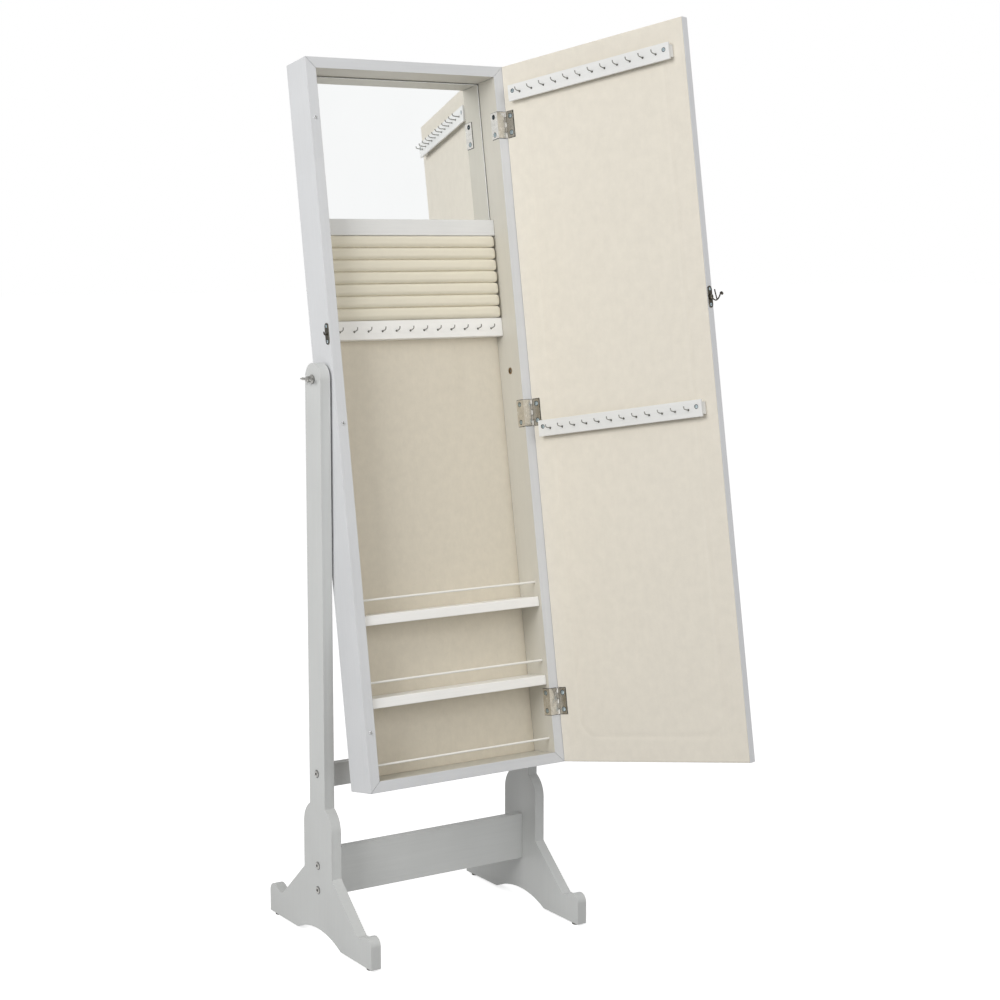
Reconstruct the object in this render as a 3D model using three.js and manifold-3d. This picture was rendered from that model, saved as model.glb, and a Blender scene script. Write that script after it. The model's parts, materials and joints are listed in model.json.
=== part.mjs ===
// Jewelry armoire: a tall mirror cabinet that tilts in a cheval stand, shown with its door open.
// Millimetres, +Z up. The front of the cabinet looks along -Y.
import * as THREE from "three";
import { mergeVertices } from "three/addons/utils/BufferGeometryUtils.js";
import Module from "manifold-3d";

const wasm = await Module();
wasm.setup();

// ---- Driving dimensions ----
const FIT = 0.3;                 // gap between pieces that touch

const CASING_WIDTH = 396;
const CASING_HEIGHT = 1248;
const CASING_DEPTH = 70;
const BOARD = 19;                // thickness of the casing boards
const PIVOT_HEIGHT = 705;        // from the casing's bottom to the tilt axis
const PIVOT_DEPTH = 33;          // from the casing's front plane to the tilt axis
const REST_TILT = 9.6;           // degrees that the casing leans back
const AXIS_HEIGHT = 986.3;       // tilt axis above the floor

const LEG_THICKNESS = 19;
const LEG_GAP = 3.9;             // between a leg and the casing
const UPRIGHT_WIDTH = 55;
const FOOT_LENGTH = 374;
const GLIDE_HEIGHT = 4;

const DOOR_THICKNESS = 16;
const DOOR_GAP = 4;              // between the closed door and the casing's front plane
const REST_OPENING = 107.2;      // degrees that the door stands open
const HINGE_INSET = 3;           // hinge axis inside the casing's side
const DOOR_REACH = 0.5;          // door's hinge edge beyond the hinge axis
const FRAME_WIDTH = 48;          // width of the door's frame members

const HALF = CASING_WIDTH / 2;
const INNER_HALF = HALF - BOARD;
const LEG_INNER = HALF + LEG_GAP;
const LEG_OUTER = LEG_INNER + LEG_THICKNESS;

// ---- Materials ----
function finish(color, roughness, metalness = 0) {
  return new THREE.MeshStandardMaterial({ color, roughness, metalness });
}

const paint = () => finish(0xd9dadb, 0.45);
const railPaint = () => finish(0xececec, 0.4);
const lining = () => finish(0xcfc4b0, 0.95);
const creamLining = () => finish(0xe3d9c6, 0.95);
const rollCloth = () => finish(0xddd3bb, 0.95);
const mirrorGlass = () => finish(0xf2f5f6, 0.03, 1);
const board = () => finish(0xb9a98e, 0.8);
const nickel = () => finish(0xbfb7a8, 0.25, 1);
const agedMetal = () => finish(0x4a463c, 0.4, 1);
const brass = () => finish(0x9a7a4a, 0.4, 1);
const darkPlastic = () => finish(0x55504a, 0.7);

// ---- Geometry helpers ----
function toSolid(geometry) {
  const bare = geometry.clone();
  bare.deleteAttribute("normal");
  bare.deleteAttribute("uv");
  const merged = mergeVertices(bare, 1e-4);
  const mesh = new wasm.Mesh({
    numProp: 3,
    vertProperties: new Float32Array(merged.attributes.position.array),
    triVerts: new Uint32Array(merged.index.array),
  });
  return new wasm.Manifold(mesh);
}

function toGeometry(solid) {
  const mesh = solid.getMesh();
  const geometry = new THREE.BufferGeometry();
  geometry.setAttribute("position", new THREE.BufferAttribute(mesh.vertProperties, 3));
  geometry.setIndex(new THREE.BufferAttribute(mesh.triVerts, 1));
  return geometry;
}

function join(...geometries) {
  return toGeometry(geometries.map(toSolid).reduce((whole, part) => whole.add(part)));
}

function cut(geometry, ...tools) {
  return toGeometry(tools.map(toSolid).reduce((whole, tool) => whole.subtract(tool), toSolid(geometry)));
}

// A box between two corners.
function box(x0, x1, y0, y1, z0, z1) {
  const geometry = new THREE.BoxGeometry(x1 - x0, y1 - y0, z1 - z0);
  geometry.translate((x0 + x1) / 2, (y0 + y1) / 2, (z0 + z1) / 2);
  return geometry;
}

// A cylinder lying along X from x0 to x1.
function barAlongX(radius, x0, x1, y, z, sides = 16) {
  const geometry = new THREE.CylinderGeometry(radius, radius, x1 - x0, sides);
  geometry.rotateZ(Math.PI / 2);
  geometry.translate((x0 + x1) / 2, y, z);
  return geometry;
}

// A cylinder standing along Z from z0 to z1.
function barAlongZ(radius, z0, z1, x, y, sides = 14) {
  const geometry = new THREE.CylinderGeometry(radius, radius, z1 - z0, sides);
  geometry.rotateX(Math.PI / 2);
  geometry.translate(x, y, (z0 + z1) / 2);
  return geometry;
}

// A ring along X, from a closed profile turned about the axis.
function ringAlongX(inner, outer, x0, x1, y, z, sides = 20) {
  const profile = [[inner, 0], [outer, 0], [outer, x1 - x0], [inner, x1 - x0], [inner, 0]];
  const geometry = new THREE.LatheGeometry(profile.map(([r, h]) => new THREE.Vector2(r, h)), sides);
  geometry.rotateZ(-Math.PI / 2);
  geometry.translate(x0, y, z);
  return geometry;
}

function circle(x, y, radius) {
  const path = new THREE.Path();
  path.absarc(x, y, radius, 0, 2 * Math.PI, true);
  return path;
}

// An outline drawn in the Y-Z plane and given a thickness along X.
function slabAlongX(shape, x0, x1, curveSegments = 6) {
  const geometry = new THREE.ExtrudeGeometry(shape, { depth: x1 - x0, bevelEnabled: false, curveSegments });
  const yAxis = new THREE.Vector3(0, 1, 0);
  const zAxis = new THREE.Vector3(0, 0, 1);
  geometry.applyMatrix4(new THREE.Matrix4().makeBasis(yAxis, zAxis, new THREE.Vector3(1, 0, 0)));
  geometry.translate(x0, 0, 0);
  return geometry;
}

// An outline drawn in the X-Z plane and given a thickness along Y.
function slabAlongY(points, y0, y1) {
  const shape = new THREE.Shape(points.map(([x, z]) => new THREE.Vector2(x, z)));
  const geometry = new THREE.ExtrudeGeometry(shape, { depth: y1 - y0, bevelEnabled: false });
  geometry.rotateX(Math.PI / 2);
  geometry.translate(0, y1, 0);
  return geometry;
}

function node(parent, name, geometry, material) {
  const mesh = new THREE.Mesh(geometry, material);
  mesh.name = name;
  parent.add(mesh);
  return mesh;
}

// ---- Stand ----
const FOOT_BOTTOM = GLIDE_HEIGHT + FIT;
const ARCH_HALF = 79;
const ARCH_TOP = 22.5;
const TOE_RADIUS = 15;
const TOE_TOP = 58;
const NOTCH_HEIGHT = 49.5;
const TOE_TAPER = 12;            // reach of the curve that falls from the toe to the notch
const NOTCH_BACK = 49;           // from the toe's end to where the slope of the foot starts
const NOTCH_FRONT = 40;          // from the toe's end to the flat of the notch
const FOOT_WIDE = 102;           // width of the section that carries the lower crossbar
const FOOT_WIDE_BOTTOM = 124;
const FOOT_WIDE_TOP = 205;
const SHOULDER_RADIUS = 44;

const CROSSBAR_HALF = 8;
const LOWER_BAR = [82, 166];
const UPPER_BAR = [277, 317.5];
const BOLT_HEIGHTS = [93, 137, 301.5];    // two in the lower crossbar, one in the upper
const BOLT_RADIUS = 3;
const BOLT_LENGTH = 48;
const BOLT_HEAD = { radius: 6.4, height: 1.8, chamfer: 0.8 };
const BOLT_SOCKET = { radius: 2.4, depth: 2.5 };
const PIVOT_SCREW_RADIUS = 3.9;
const GLIDE_RADIUS = 7.5;
const GLIDE_PLACE = 169;

// Half of the leg's outline, from the middle of the arch round the toe and up to the rounded top.
function halfLeg() {
  const archRadius = (ARCH_HALF ** 2 + (ARCH_TOP - FOOT_BOTTOM) ** 2) / (2 * (ARCH_TOP - FOOT_BOTTOM));
  const archAngle = Math.asin(ARCH_HALF / archRadius);
  const footHalf = FOOT_LENGTH / 2;
  const wideHalf = FOOT_WIDE / 2;
  const uprightHalf = UPRIGHT_WIDTH / 2;
  const shoulder = Math.acos(1 - (wideHalf - uprightHalf) / SHOULDER_RADIUS);
  const path = new THREE.Path();
  path.absarc(0, ARCH_TOP - archRadius, archRadius, Math.PI / 2, Math.PI / 2 - archAngle, true);
  path.lineTo(footHalf, FOOT_BOTTOM);
  path.absarc(footHalf - TOE_RADIUS, TOE_TOP - TOE_RADIUS, TOE_RADIUS, 0, Math.PI / 2, false);
  const toeEnd = footHalf - TOE_RADIUS - TOE_TAPER;
  const notchStart = footHalf - NOTCH_FRONT;
  path.bezierCurveTo(toeEnd, TOE_TOP, notchStart + TOE_TAPER - 2, NOTCH_HEIGHT, notchStart, NOTCH_HEIGHT);
  path.lineTo(footHalf - NOTCH_BACK, NOTCH_HEIGHT);
  path.lineTo(wideHalf, FOOT_WIDE_BOTTOM);
  path.absarc(wideHalf - SHOULDER_RADIUS, FOOT_WIDE_TOP, SHOULDER_RADIUS, 0, shoulder, false);
  path.absarc(0, AXIS_HEIGHT, uprightHalf, 0, Math.PI / 2, false);
  return path.getPoints(6);
}

function leg(x0) {
  const half = halfLeg();
  const mirrored = half.slice(1, -1).reverse().map((p) => new THREE.Vector2(-p.x, p.y));
  const shape = new THREE.Shape([...half, ...mirrored]);
  shape.holes.push(circle(0, AXIS_HEIGHT, PIVOT_SCREW_RADIUS + 0.6));
  for (const height of BOLT_HEIGHTS) {
    shape.holes.push(circle(0, height, BOLT_RADIUS + 0.4));
  }
  return slabAlongX(shape, x0, x0 + LEG_THICKNESS, 4);
}

// A crossbar with a blind bore for each bolt at both ends.
function crossbar([bottom, top], boltHeights) {
  const end = LEG_INNER - FIT;
  const depth = BOLT_LENGTH - LEG_THICKNESS + 2;
  const bores = [];
  for (const height of boltHeights) {
    bores.push(barAlongX(BOLT_RADIUS + 0.3, end - depth, end + 1, 0, height, 12));
    bores.push(barAlongX(BOLT_RADIUS + 0.3, -end - 1, depth - end, 0, height, 12));
  }
  return cut(box(-end, end, -CROSSBAR_HALF, CROSSBAR_HALF, bottom, top), ...bores);
}

// A joint bolt with its head on the outside of the leg and a hexagonal socket in the head.
function bolt(side, height) {
  const { radius, height: head, chamfer } = BOLT_HEAD;
  const profile = [
    [0, -BOLT_LENGTH],
    [BOLT_RADIUS, -BOLT_LENGTH],
    [BOLT_RADIUS, 0],
    [radius, 0],
    [radius, head - chamfer],
    [radius - chamfer, head],
    [0, head],
  ];
  const body = new THREE.LatheGeometry(profile.map(([r, h]) => new THREE.Vector2(r, h)), 12);
  const socket = new THREE.CylinderGeometry(BOLT_SOCKET.radius, BOLT_SOCKET.radius, 2 * BOLT_SOCKET.depth, 6);
  socket.translate(0, head, 0);
  const geometry = cut(body, socket);
  geometry.rotateZ((-side * Math.PI) / 2);
  geometry.translate(side * (LEG_OUTER + FIT), 0, height);
  return geometry;
}

function buildStand(parent) {
  node(parent, "left_leg", leg(-LEG_OUTER), paint());
  node(parent, "right_leg", leg(LEG_INNER), paint());
  node(parent, "lower_crossbar", crossbar(LOWER_BAR, BOLT_HEIGHTS.slice(0, 2)), paint());
  node(parent, "upper_crossbar", crossbar(UPPER_BAR, BOLT_HEIGHTS.slice(2)), paint());
  for (const [sideName, side] of [["left", -1], ["right", 1]]) {
    BOLT_HEIGHTS.forEach((height, index) => {
      node(parent, `${sideName}_joint_bolt_${index + 1}`, bolt(side, height), nickel());
    });
    for (const [endName, end] of [["front", -1], ["back", 1]]) {
      const x = side * (LEG_INNER + LEG_THICKNESS / 2);
      const glide = barAlongZ(GLIDE_RADIUS, 0, GLIDE_HEIGHT, x, end * GLIDE_PLACE, 20);
      node(parent, `${sideName}_${endName}_glide`, glide, darkPlastic());
    }
  }
}

// ---- Tilt pivot ----
const BOSS_RADIUS = 8;
const NECK_RADIUS = 5.2;
const BOSS_HEIGHT = 12.5;
const INSERT_RADIUS = 6;
const WASHER_RADIUS = 11;
const WING_SPAN = 20;            // from the screw's axis to the wing's tip
const WING_REACH = 15;           // from the leg's face to the wing's tip
const WING_THICKNESS = 2.8;

function wing(sign) {
  const shape = new THREE.Shape();
  shape.moveTo(sign * 2, 3);
  shape.quadraticCurveTo(sign * 9, 3.5, sign * (WING_SPAN - 3), WING_REACH - 6);
  shape.quadraticCurveTo(sign * (WING_SPAN + 2), WING_REACH - 2, sign * WING_SPAN, WING_REACH);
  shape.quadraticCurveTo(sign * (WING_SPAN - 5), WING_REACH + 1, sign * 10, WING_REACH - 5);
  shape.quadraticCurveTo(sign * 6, 9.5, sign * 2, 9.5);
  const options = { depth: WING_THICKNESS, bevelEnabled: false, curveSegments: 4 };
  const geometry = new THREE.ExtrudeGeometry(shape, options);
  geometry.translate(0, 0, -WING_THICKNESS / 2);
  return geometry;
}

// A wing screw that clamps the leg and turns in the insert of the casing's side.
function thumbscrew(side) {
  const reach = LEG_THICKNESS + LEG_GAP + BOARD - 1;
  const radius = PIVOT_SCREW_RADIUS;
  const profile = [
    [0, -reach],
    [radius, -reach],
    [radius, 0],
    [BOSS_RADIUS, 0],
    [BOSS_RADIUS, 3],
    [NECK_RADIUS, 4.5],
    [NECK_RADIUS, BOSS_HEIGHT - 1.5],
    [NECK_RADIUS - 1.7, BOSS_HEIGHT],
    [0, BOSS_HEIGHT],
  ];
  const body = new THREE.LatheGeometry(profile.map(([r, h]) => new THREE.Vector2(r, h)), 16);
  const geometry = join(body, wing(1), wing(-1));
  geometry.rotateZ((-side * Math.PI) / 2);
  geometry.translate(side * (LEG_OUTER + FIT), 0, AXIS_HEIGHT);
  return geometry;
}

function buildPivot(stand, casing) {
  for (const [sideName, side] of [["left", -1], ["right", 1]]) {
    node(stand, `${sideName}_thumbscrew`, thumbscrew(side), nickel());
    const near = Math.min(side * (HALF + FIT), side * (LEG_INNER - FIT));
    const far = Math.max(side * (HALF + FIT), side * (LEG_INNER - FIT));
    const hole = PIVOT_SCREW_RADIUS + 0.5;
    const washer = ringAlongX(hole, WASHER_RADIUS, near, far, 0, AXIS_HEIGHT);
    node(stand, `${sideName}_spacer_washer`, washer, nickel());
    const start = side > 0 ? INNER_HALF : -HALF;
    const sleeve = ringAlongX(hole, INSERT_RADIUS, start, start + BOARD, PIVOT_DEPTH, PIVOT_HEIGHT);
    node(casing, `${sideName}_threaded_insert`, sleeve, brass());
  }
}

// ---- Casing: X across, Y from the front plane to the back, Z up from the casing's bottom ----
const MITRE_SHIFT = 0.22;        // opens each mitre joint by the touching gap
const BACK_PANEL = [67, CASING_DEPTH];
const BACK_LINING = [65.5, 66.7];
const FITTING_BACK = BACK_LINING[0] - FIT;   // where shelves and rails meet the lining
const FITTING_HALF = INNER_HALF - FIT;

const MIRROR_FRONT = 53;
const MIRROR_GLASS = 4;
const MIRROR_RAIL = { front: 42, bottom: 951.2, top: 979.8 };
const ROLL_COUNT = 7;
const ROLLS_BOTTOM = 803.4;
const ROLLS_TOP = 951;
const ROLL_FRONT = 39.5;
const HOOK_RAIL = { front: 44.5, bottom: 770, top: 803 };
const HOOK_COUNT = 12;
const CASING_HOOK_PITCH = 28;
const HOOK_WIRE = 1.1;
const HOOK_REACH = 13;
const HOOK_RISE = 6;

const SHELF_TOPS = [157.3, 297.8];
const SHELF_THICKNESS = 17.2;
const SHELF_FRONT = 6.8;
const ROD_HEIGHTS = [43.8, 183.6, 323.8];
const ROD_DEPTH = 16;
const ROD_RADIUS = 2;
const ROD_SOCKET = 5;            // depth of a guard rod's seat in each side board

// A board of the mitred frame around a rectangle x0..x1 by z0..z1, by side.
function mitredOutline(side, [x0, x1], [z0, z1], width) {
  const g = MITRE_SHIFT;
  const outlines = {
    left: [[x0, z0 + g], [x0 + width, z0 + width + g], [x0 + width, z1 - width - g], [x0, z1 - g]],
    right: [[x1, z0 + g], [x1 - width, z0 + width + g], [x1 - width, z1 - width - g], [x1, z1 - g]],
    bottom: [[x0 + g, z0], [x0 + width + g, z0 + width], [x1 - width - g, z0 + width], [x1 - g, z0]],
    top: [[x0 + g, z1], [x0 + width + g, z1 - width], [x1 - width - g, z1 - width], [x1 - g, z1]],
  };
  return outlines[side];
}

function casingBoard(side) {
  const outline = mitredOutline(side, [-HALF, HALF], [0, CASING_HEIGHT], BOARD);
  return slabAlongY(outline, 0, CASING_DEPTH);
}

// A side board with the bore of the pivot insert and a blind seat for each guard rod.
function sideBoard(side) {
  const insertHole = barAlongX(INSERT_RADIUS + FIT, -HALF - 1, HALF + 1, PIVOT_DEPTH, PIVOT_HEIGHT, 20);
  const reach = INNER_HALF + ROD_SOCKET + FIT;
  const seat = (height) => barAlongX(ROD_RADIUS + FIT, -reach, reach, ROD_DEPTH, height, 10);
  const seats = ROD_HEIGHTS.map(seat);
  return cut(casingBoard(side), insertHole, ...seats);
}

// An L-hook of wire standing out of a rail along Y (direction -1 or 1) and turned up at its end.
function hook(x, y, z, direction) {
  const points = [
    [0, -2, -0.6], [0, HOOK_REACH * 0.5, 0.8], [0, HOOK_REACH * 0.9, 2], [0, HOOK_REACH, HOOK_RISE],
  ];
  const curve = new THREE.CatmullRomCurve3(
    points.map(([px, py, pz]) => new THREE.Vector3(x + px, y + direction * py, z + pz)),
  );
  const section = new THREE.Shape();
  for (let i = 0; i < 6; i += 1) {
    const angle = (i * Math.PI) / 3;
    const method = i === 0 ? "moveTo" : "lineTo";
    section[method](HOOK_WIRE * Math.cos(angle), HOOK_WIRE * Math.sin(angle));
  }
  return new THREE.ExtrudeGeometry(section, { steps: 5, bevelEnabled: false, extrudePath: curve });
}

function hookRow(centre, pitch, y, z, direction) {
  const hooks = [];
  for (let i = 0; i < HOOK_COUNT; i += 1) {
    hooks.push(hook(centre + (i - (HOOK_COUNT - 1) / 2) * pitch, y, z, direction));
  }
  return hooks;
}

// ---- Hinges: both leaves are drawn about the hinge axis ----
const HINGE_CENTRES = [109, 626, 1143];
const HINGE_HEIGHT = 47;
const KNUCKLES = 5;
const KNUCKLE_RADIUS = 1.7;
const PIN_RADIUS = 0.8;
const LEAF_THICKNESS = 1;
const LEAF_NEAR = DOOR_GAP / 2 - FIT - LEAF_THICKNESS;  // leaf's near face from the axis plane
const LEAF_FAR = DOOR_GAP / 2 - FIT;
const LEAF_EDGE = KNUCKLE_RADIUS + FIT;          // leaf's straight edge from the axis
const DOOR_LEAF_WIDTH = 16.8;                    // from the axis
const WALL_FLANGE_DEPTH = 22;

// Knuckles of one leaf, each with a tongue of the leaf that reaches it.
function knuckles(first, centre, y0, y1) {
  const pitch = HINGE_HEIGHT / KNUCKLES;
  const pieces = [];
  for (let i = first; i < KNUCKLES; i += 2) {
    const bottom = centre - HINGE_HEIGHT / 2 + i * pitch + FIT / 2;
    const top = bottom + pitch - FIT;
    pieces.push(barAlongZ(KNUCKLE_RADIUS, bottom, top, 0, 0));
    pieces.push(box(-LEAF_EDGE - 0.4, 0, y0, y1, bottom, top));
  }
  return pieces;
}

function casingLeaf(centre) {
  const [z0, z1] = [centre - HINGE_HEIGHT / 2, centre + HINGE_HEIGHT / 2];
  const inner = HINGE_INSET - BOARD - FIT - LEAF_THICKNESS;
  const rimFlange = box(inner, -LEAF_EDGE, LEAF_NEAR, LEAF_FAR, z0, z1);
  const wallFlange = box(inner, inner + LEAF_THICKNESS, LEAF_NEAR, WALL_FLANGE_DEPTH, z0, z1);
  const solid = join(rimFlange, wallFlange, ...knuckles(0, centre, LEAF_NEAR, LEAF_FAR));
  return cut(solid, barAlongZ(PIN_RADIUS + 0.3, z0 - 1, z1 + 1, 0, 0, 10));
}

function doorLeaf(centre) {
  const [z0, z1] = [centre - HINGE_HEIGHT / 2, centre + HINGE_HEIGHT / 2];
  const plate = box(-DOOR_LEAF_WIDTH, -LEAF_EDGE, -LEAF_FAR, -LEAF_NEAR, z0, z1);
  const pin = barAlongZ(PIN_RADIUS, z0 - 0.8, z1 + 0.8, 0, 0, 8);
  return join(plate, ...knuckles(1, centre, -LEAF_FAR, -LEAF_NEAR), pin);
}

// ---- Latch: plates along the Y-Z plane on the left side ----
const LATCH_HEIGHT = 778;
const LATCH_PLATE_WIDTH = 12.6;
const LATCH_PLATE_HEIGHT = 37;
const LATCH_PLATE_THICKNESS = 1;
const CATCH_DEPTH = 8.2;         // prong behind the casing's front plane
const PRONG_RADIUS = 1.3;
const PRONG_REACH = 6.6;
const PRONG_RISE = 5;
const STUD_RADIUS = 2.4;
const HOOK_PLATE = [1.7, 3.7];   // the hook's two faces, outward from the side
const STUD_HEAD = [4, 5.2];
const REST_LATCH = 175;          // degrees that the hook is swung away from the prong

function stadium(y, z) {
  const radius = LATCH_PLATE_WIDTH / 2;
  const straight = LATCH_PLATE_HEIGHT / 2 - radius;
  const shape = new THREE.Shape();
  shape.absarc(y, z + straight, radius, 0, Math.PI, false);
  shape.absarc(y, z - straight, radius, Math.PI, 2 * Math.PI, false);
  return shape;
}

function catchPlate() {
  const outer = -HALF - FIT - LATCH_PLATE_THICKNESS;
  const plate = slabAlongX(stadium(CATCH_DEPTH, LATCH_HEIGHT), outer, outer + LATCH_PLATE_THICKNESS);
  const stemHeight = LATCH_HEIGHT - 1;
  const stem = barAlongX(PRONG_RADIUS, -HALF - PRONG_REACH, outer + 0.5, CATCH_DEPTH, stemHeight, 10);
  const tip = barAlongZ(PRONG_RADIUS, stemHeight - PRONG_RADIUS, stemHeight + PRONG_RISE,
    -HALF - PRONG_REACH, CATCH_DEPTH, 10);
  return join(plate, stem, tip);
}

// The swing hook about its stud: the eye, the arm, and a crotch that drops over the prong.
function latchHook() {
  const eye = new THREE.Shape();
  eye.absarc(0, 0, 5, 0, 2 * Math.PI, false);
  const arm = new THREE.Shape();
  arm.moveTo(2.5, 4);
  arm.quadraticCurveTo(12, 9.5, 19, 6);
  arm.quadraticCurveTo(26, 2.5, 31, -3.5);
  arm.lineTo(28.6, -5.8);
  arm.quadraticCurveTo(25, -1.2, 22.2, 0.3);
  arm.quadraticCurveTo(20, 1.2, 18, -0.4);
  arm.quadraticCurveTo(15.6, -4, 14.2, -12);
  arm.lineTo(11.6, -11.4);
  arm.quadraticCurveTo(12.6, -3, 14.6, 1.8);
  arm.quadraticCurveTo(9, 4.4, 3.8, -1);
  const [near, far] = HOOK_PLATE;
  const curl = new THREE.CylinderGeometry(2.3, 2.3, 5, 12);
  curl.rotateX(THREE.MathUtils.degToRad(50));
  curl.translate(-far - 0.9, 29.6, -4.6);
  const solid = join(slabAlongX(eye, -far, -near, 16), slabAlongX(arm, -far, -near, 4), curl);
  return cut(solid, barAlongX(STUD_RADIUS + 0.35, -far - 1, -near + 1, 0, 0, 16));
}

function buildCasing(parent) {
  node(parent, "casing_left_side", sideBoard("left"), paint());
  node(parent, "casing_right_side", sideBoard("right"), paint());
  node(parent, "casing_top", casingBoard("top"), paint());
  node(parent, "casing_bottom", casingBoard("bottom"), paint());
  const [low, high] = [BOARD + FIT, CASING_HEIGHT - BOARD - FIT];
  const half = FITTING_HALF;
  node(parent, "back_panel", box(-half, half, ...BACK_PANEL, low, high), board());
  node(parent, "back_lining", box(-half, half, ...BACK_LINING, low, high), lining());
  const mirrorBack = MIRROR_FRONT + MIRROR_GLASS;
  const mirrorLow = MIRROR_RAIL.top + FIT;
  const glass = box(-half, half, MIRROR_FRONT, mirrorBack, mirrorLow, high);
  const backing = box(-half, half, mirrorBack + FIT, FITTING_BACK, mirrorLow, high);
  node(parent, "interior_mirror", glass, mirrorGlass());
  node(parent, "interior_mirror_backing", backing, board());
  const railBox = box(-half, half, MIRROR_RAIL.front, FITTING_BACK, MIRROR_RAIL.bottom, MIRROR_RAIL.top);
  node(parent, "mirror_rail", railBox, railPaint());

  const rollPitch = (ROLLS_TOP - ROLLS_BOTTOM) / ROLL_COUNT;
  const rollRadius = rollPitch / 2 - FIT / 2;
  for (let i = 0; i < ROLL_COUNT; i += 1) {
    const height = ROLLS_TOP - (i + 0.5) * rollPitch;
    const roll = barAlongX(rollRadius, -half + FIT, half - FIT, ROLL_FRONT + rollRadius, height, 16);
    node(parent, `ring_roll_${i + 1}`, roll, rollCloth());
  }

  const hookRail = box(-half, half, HOOK_RAIL.front, FITTING_BACK, HOOK_RAIL.bottom, HOOK_RAIL.top);
  const hookHeight = (HOOK_RAIL.bottom + HOOK_RAIL.top) / 2 - 2;
  const hooks = hookRow(0, CASING_HOOK_PITCH, HOOK_RAIL.front, hookHeight, -1);
  node(parent, "casing_hook_rail", join(hookRail, ...hooks), railPaint());

  SHELF_TOPS.forEach((top, index) => {
    const shelf = box(-half, half, SHELF_FRONT, FITTING_BACK, top - SHELF_THICKNESS, top);
    node(parent, `shelf_${index + 1}`, shelf, railPaint());
  });
  ROD_HEIGHTS.forEach((height, index) => {
    const end = INNER_HALF + ROD_SOCKET;
    const rod = barAlongX(ROD_RADIUS, -end, end, ROD_DEPTH, height, 10);
    node(parent, `guard_rod_${index + 1}`, rod, railPaint());
  });
  node(parent, "catch_plate", catchPlate(), agedMetal());

  HINGE_CENTRES.forEach((centre, index) => {
    const leaf = node(parent, `casing_hinge_leaf_${index + 1}`, casingLeaf(centre), nickel());
    leaf.position.set(HALF - HINGE_INSET, -DOOR_GAP / 2, 0);
  });
}

// ---- Door: drawn closed, about the hinge axis. X runs to the hinge, Y to the inside. ----
const DOOR_X = [HINGE_INSET - CASING_WIDTH, DOOR_REACH];
const DOOR_FACE = -DOOR_GAP / 2;                 // inner face, which carries the lining
const DOOR_OUTER = DOOR_FACE - DOOR_THICKNESS;
const LINING_THICKNESS = 1;
const FRAME_BACK = DOOR_FACE - LINING_THICKNESS - FIT;
const LIP_WIDTH = 5;             // how far the frame's front lip covers the mirror's edge
const LIP_THICKNESS = 2;
const DOOR_MIRROR_GLASS = 4;

const DOOR_RAIL_CENTRES = [594.9, 1194.3];
const DOOR_RAIL_SPAN = [20, 371];                // from the hinge edge
const DOOR_RAIL_HEIGHT = 29;
const DOOR_RAIL_THICKNESS = 4;
const SPACER_BLOCK = { length: 24, height: 21, thickness: 9 };
const DOOR_HOOK_PITCH = 27;

function frameMember(side) {
  const edges = [0, CASING_HEIGHT];
  const lipBack = DOOR_OUTER + LIP_THICKNESS;
  const lip = slabAlongY(mitredOutline(side, DOOR_X, edges, FRAME_WIDTH), DOOR_OUTER, lipBack);
  const body = slabAlongY(mitredOutline(side, DOOR_X, edges, FRAME_WIDTH - LIP_WIDTH), lipBack, FRAME_BACK);
  return join(lip, body);
}

// A necklace rail: a strip on two spacer blocks, with its row of hooks.
function doorHookRail(centre) {
  const [near, far] = DOOR_RAIL_SPAN.map((distance) => DOOR_X[1] - distance);
  const base = DOOR_FACE + FIT;
  const stripBack = base + SPACER_BLOCK.thickness;
  const stripFront = stripBack + DOOR_RAIL_THICKNESS;
  const halfHeight = DOOR_RAIL_HEIGHT / 2;
  const strip = box(far, near, stripBack - 0.1, stripFront, centre - halfHeight, centre + halfHeight);
  const [z0, z1] = [centre - SPACER_BLOCK.height / 2, centre + SPACER_BLOCK.height / 2];
  const blocks = [
    box(far, far + SPACER_BLOCK.length, base, stripBack, z0, z1),
    box(near - SPACER_BLOCK.length, near, base, stripBack, z0, z1),
  ];
  return join(strip, ...blocks, ...hookRow((near + far) / 2, DOOR_HOOK_PITCH, stripFront, centre - 1, 1));
}

function latchPlate() {
  const outer = DOOR_X[0] - FIT - LATCH_PLATE_THICKNESS;
  const y = (DOOR_FACE + DOOR_OUTER) / 2;
  const plate = slabAlongX(stadium(y, LATCH_HEIGHT), outer, outer + LATCH_PLATE_THICKNESS);
  const [headNear, headFar] = STUD_HEAD;
  const stud = barAlongX(STUD_RADIUS, DOOR_X[0] - headFar + 0.3, outer + 0.5, y, LATCH_HEIGHT, 14);
  const head = barAlongX(STUD_RADIUS + 1.6, DOOR_X[0] - headFar, DOOR_X[0] - headNear, y, LATCH_HEIGHT, 14);
  return join(plate, stud, head);
}

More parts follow.
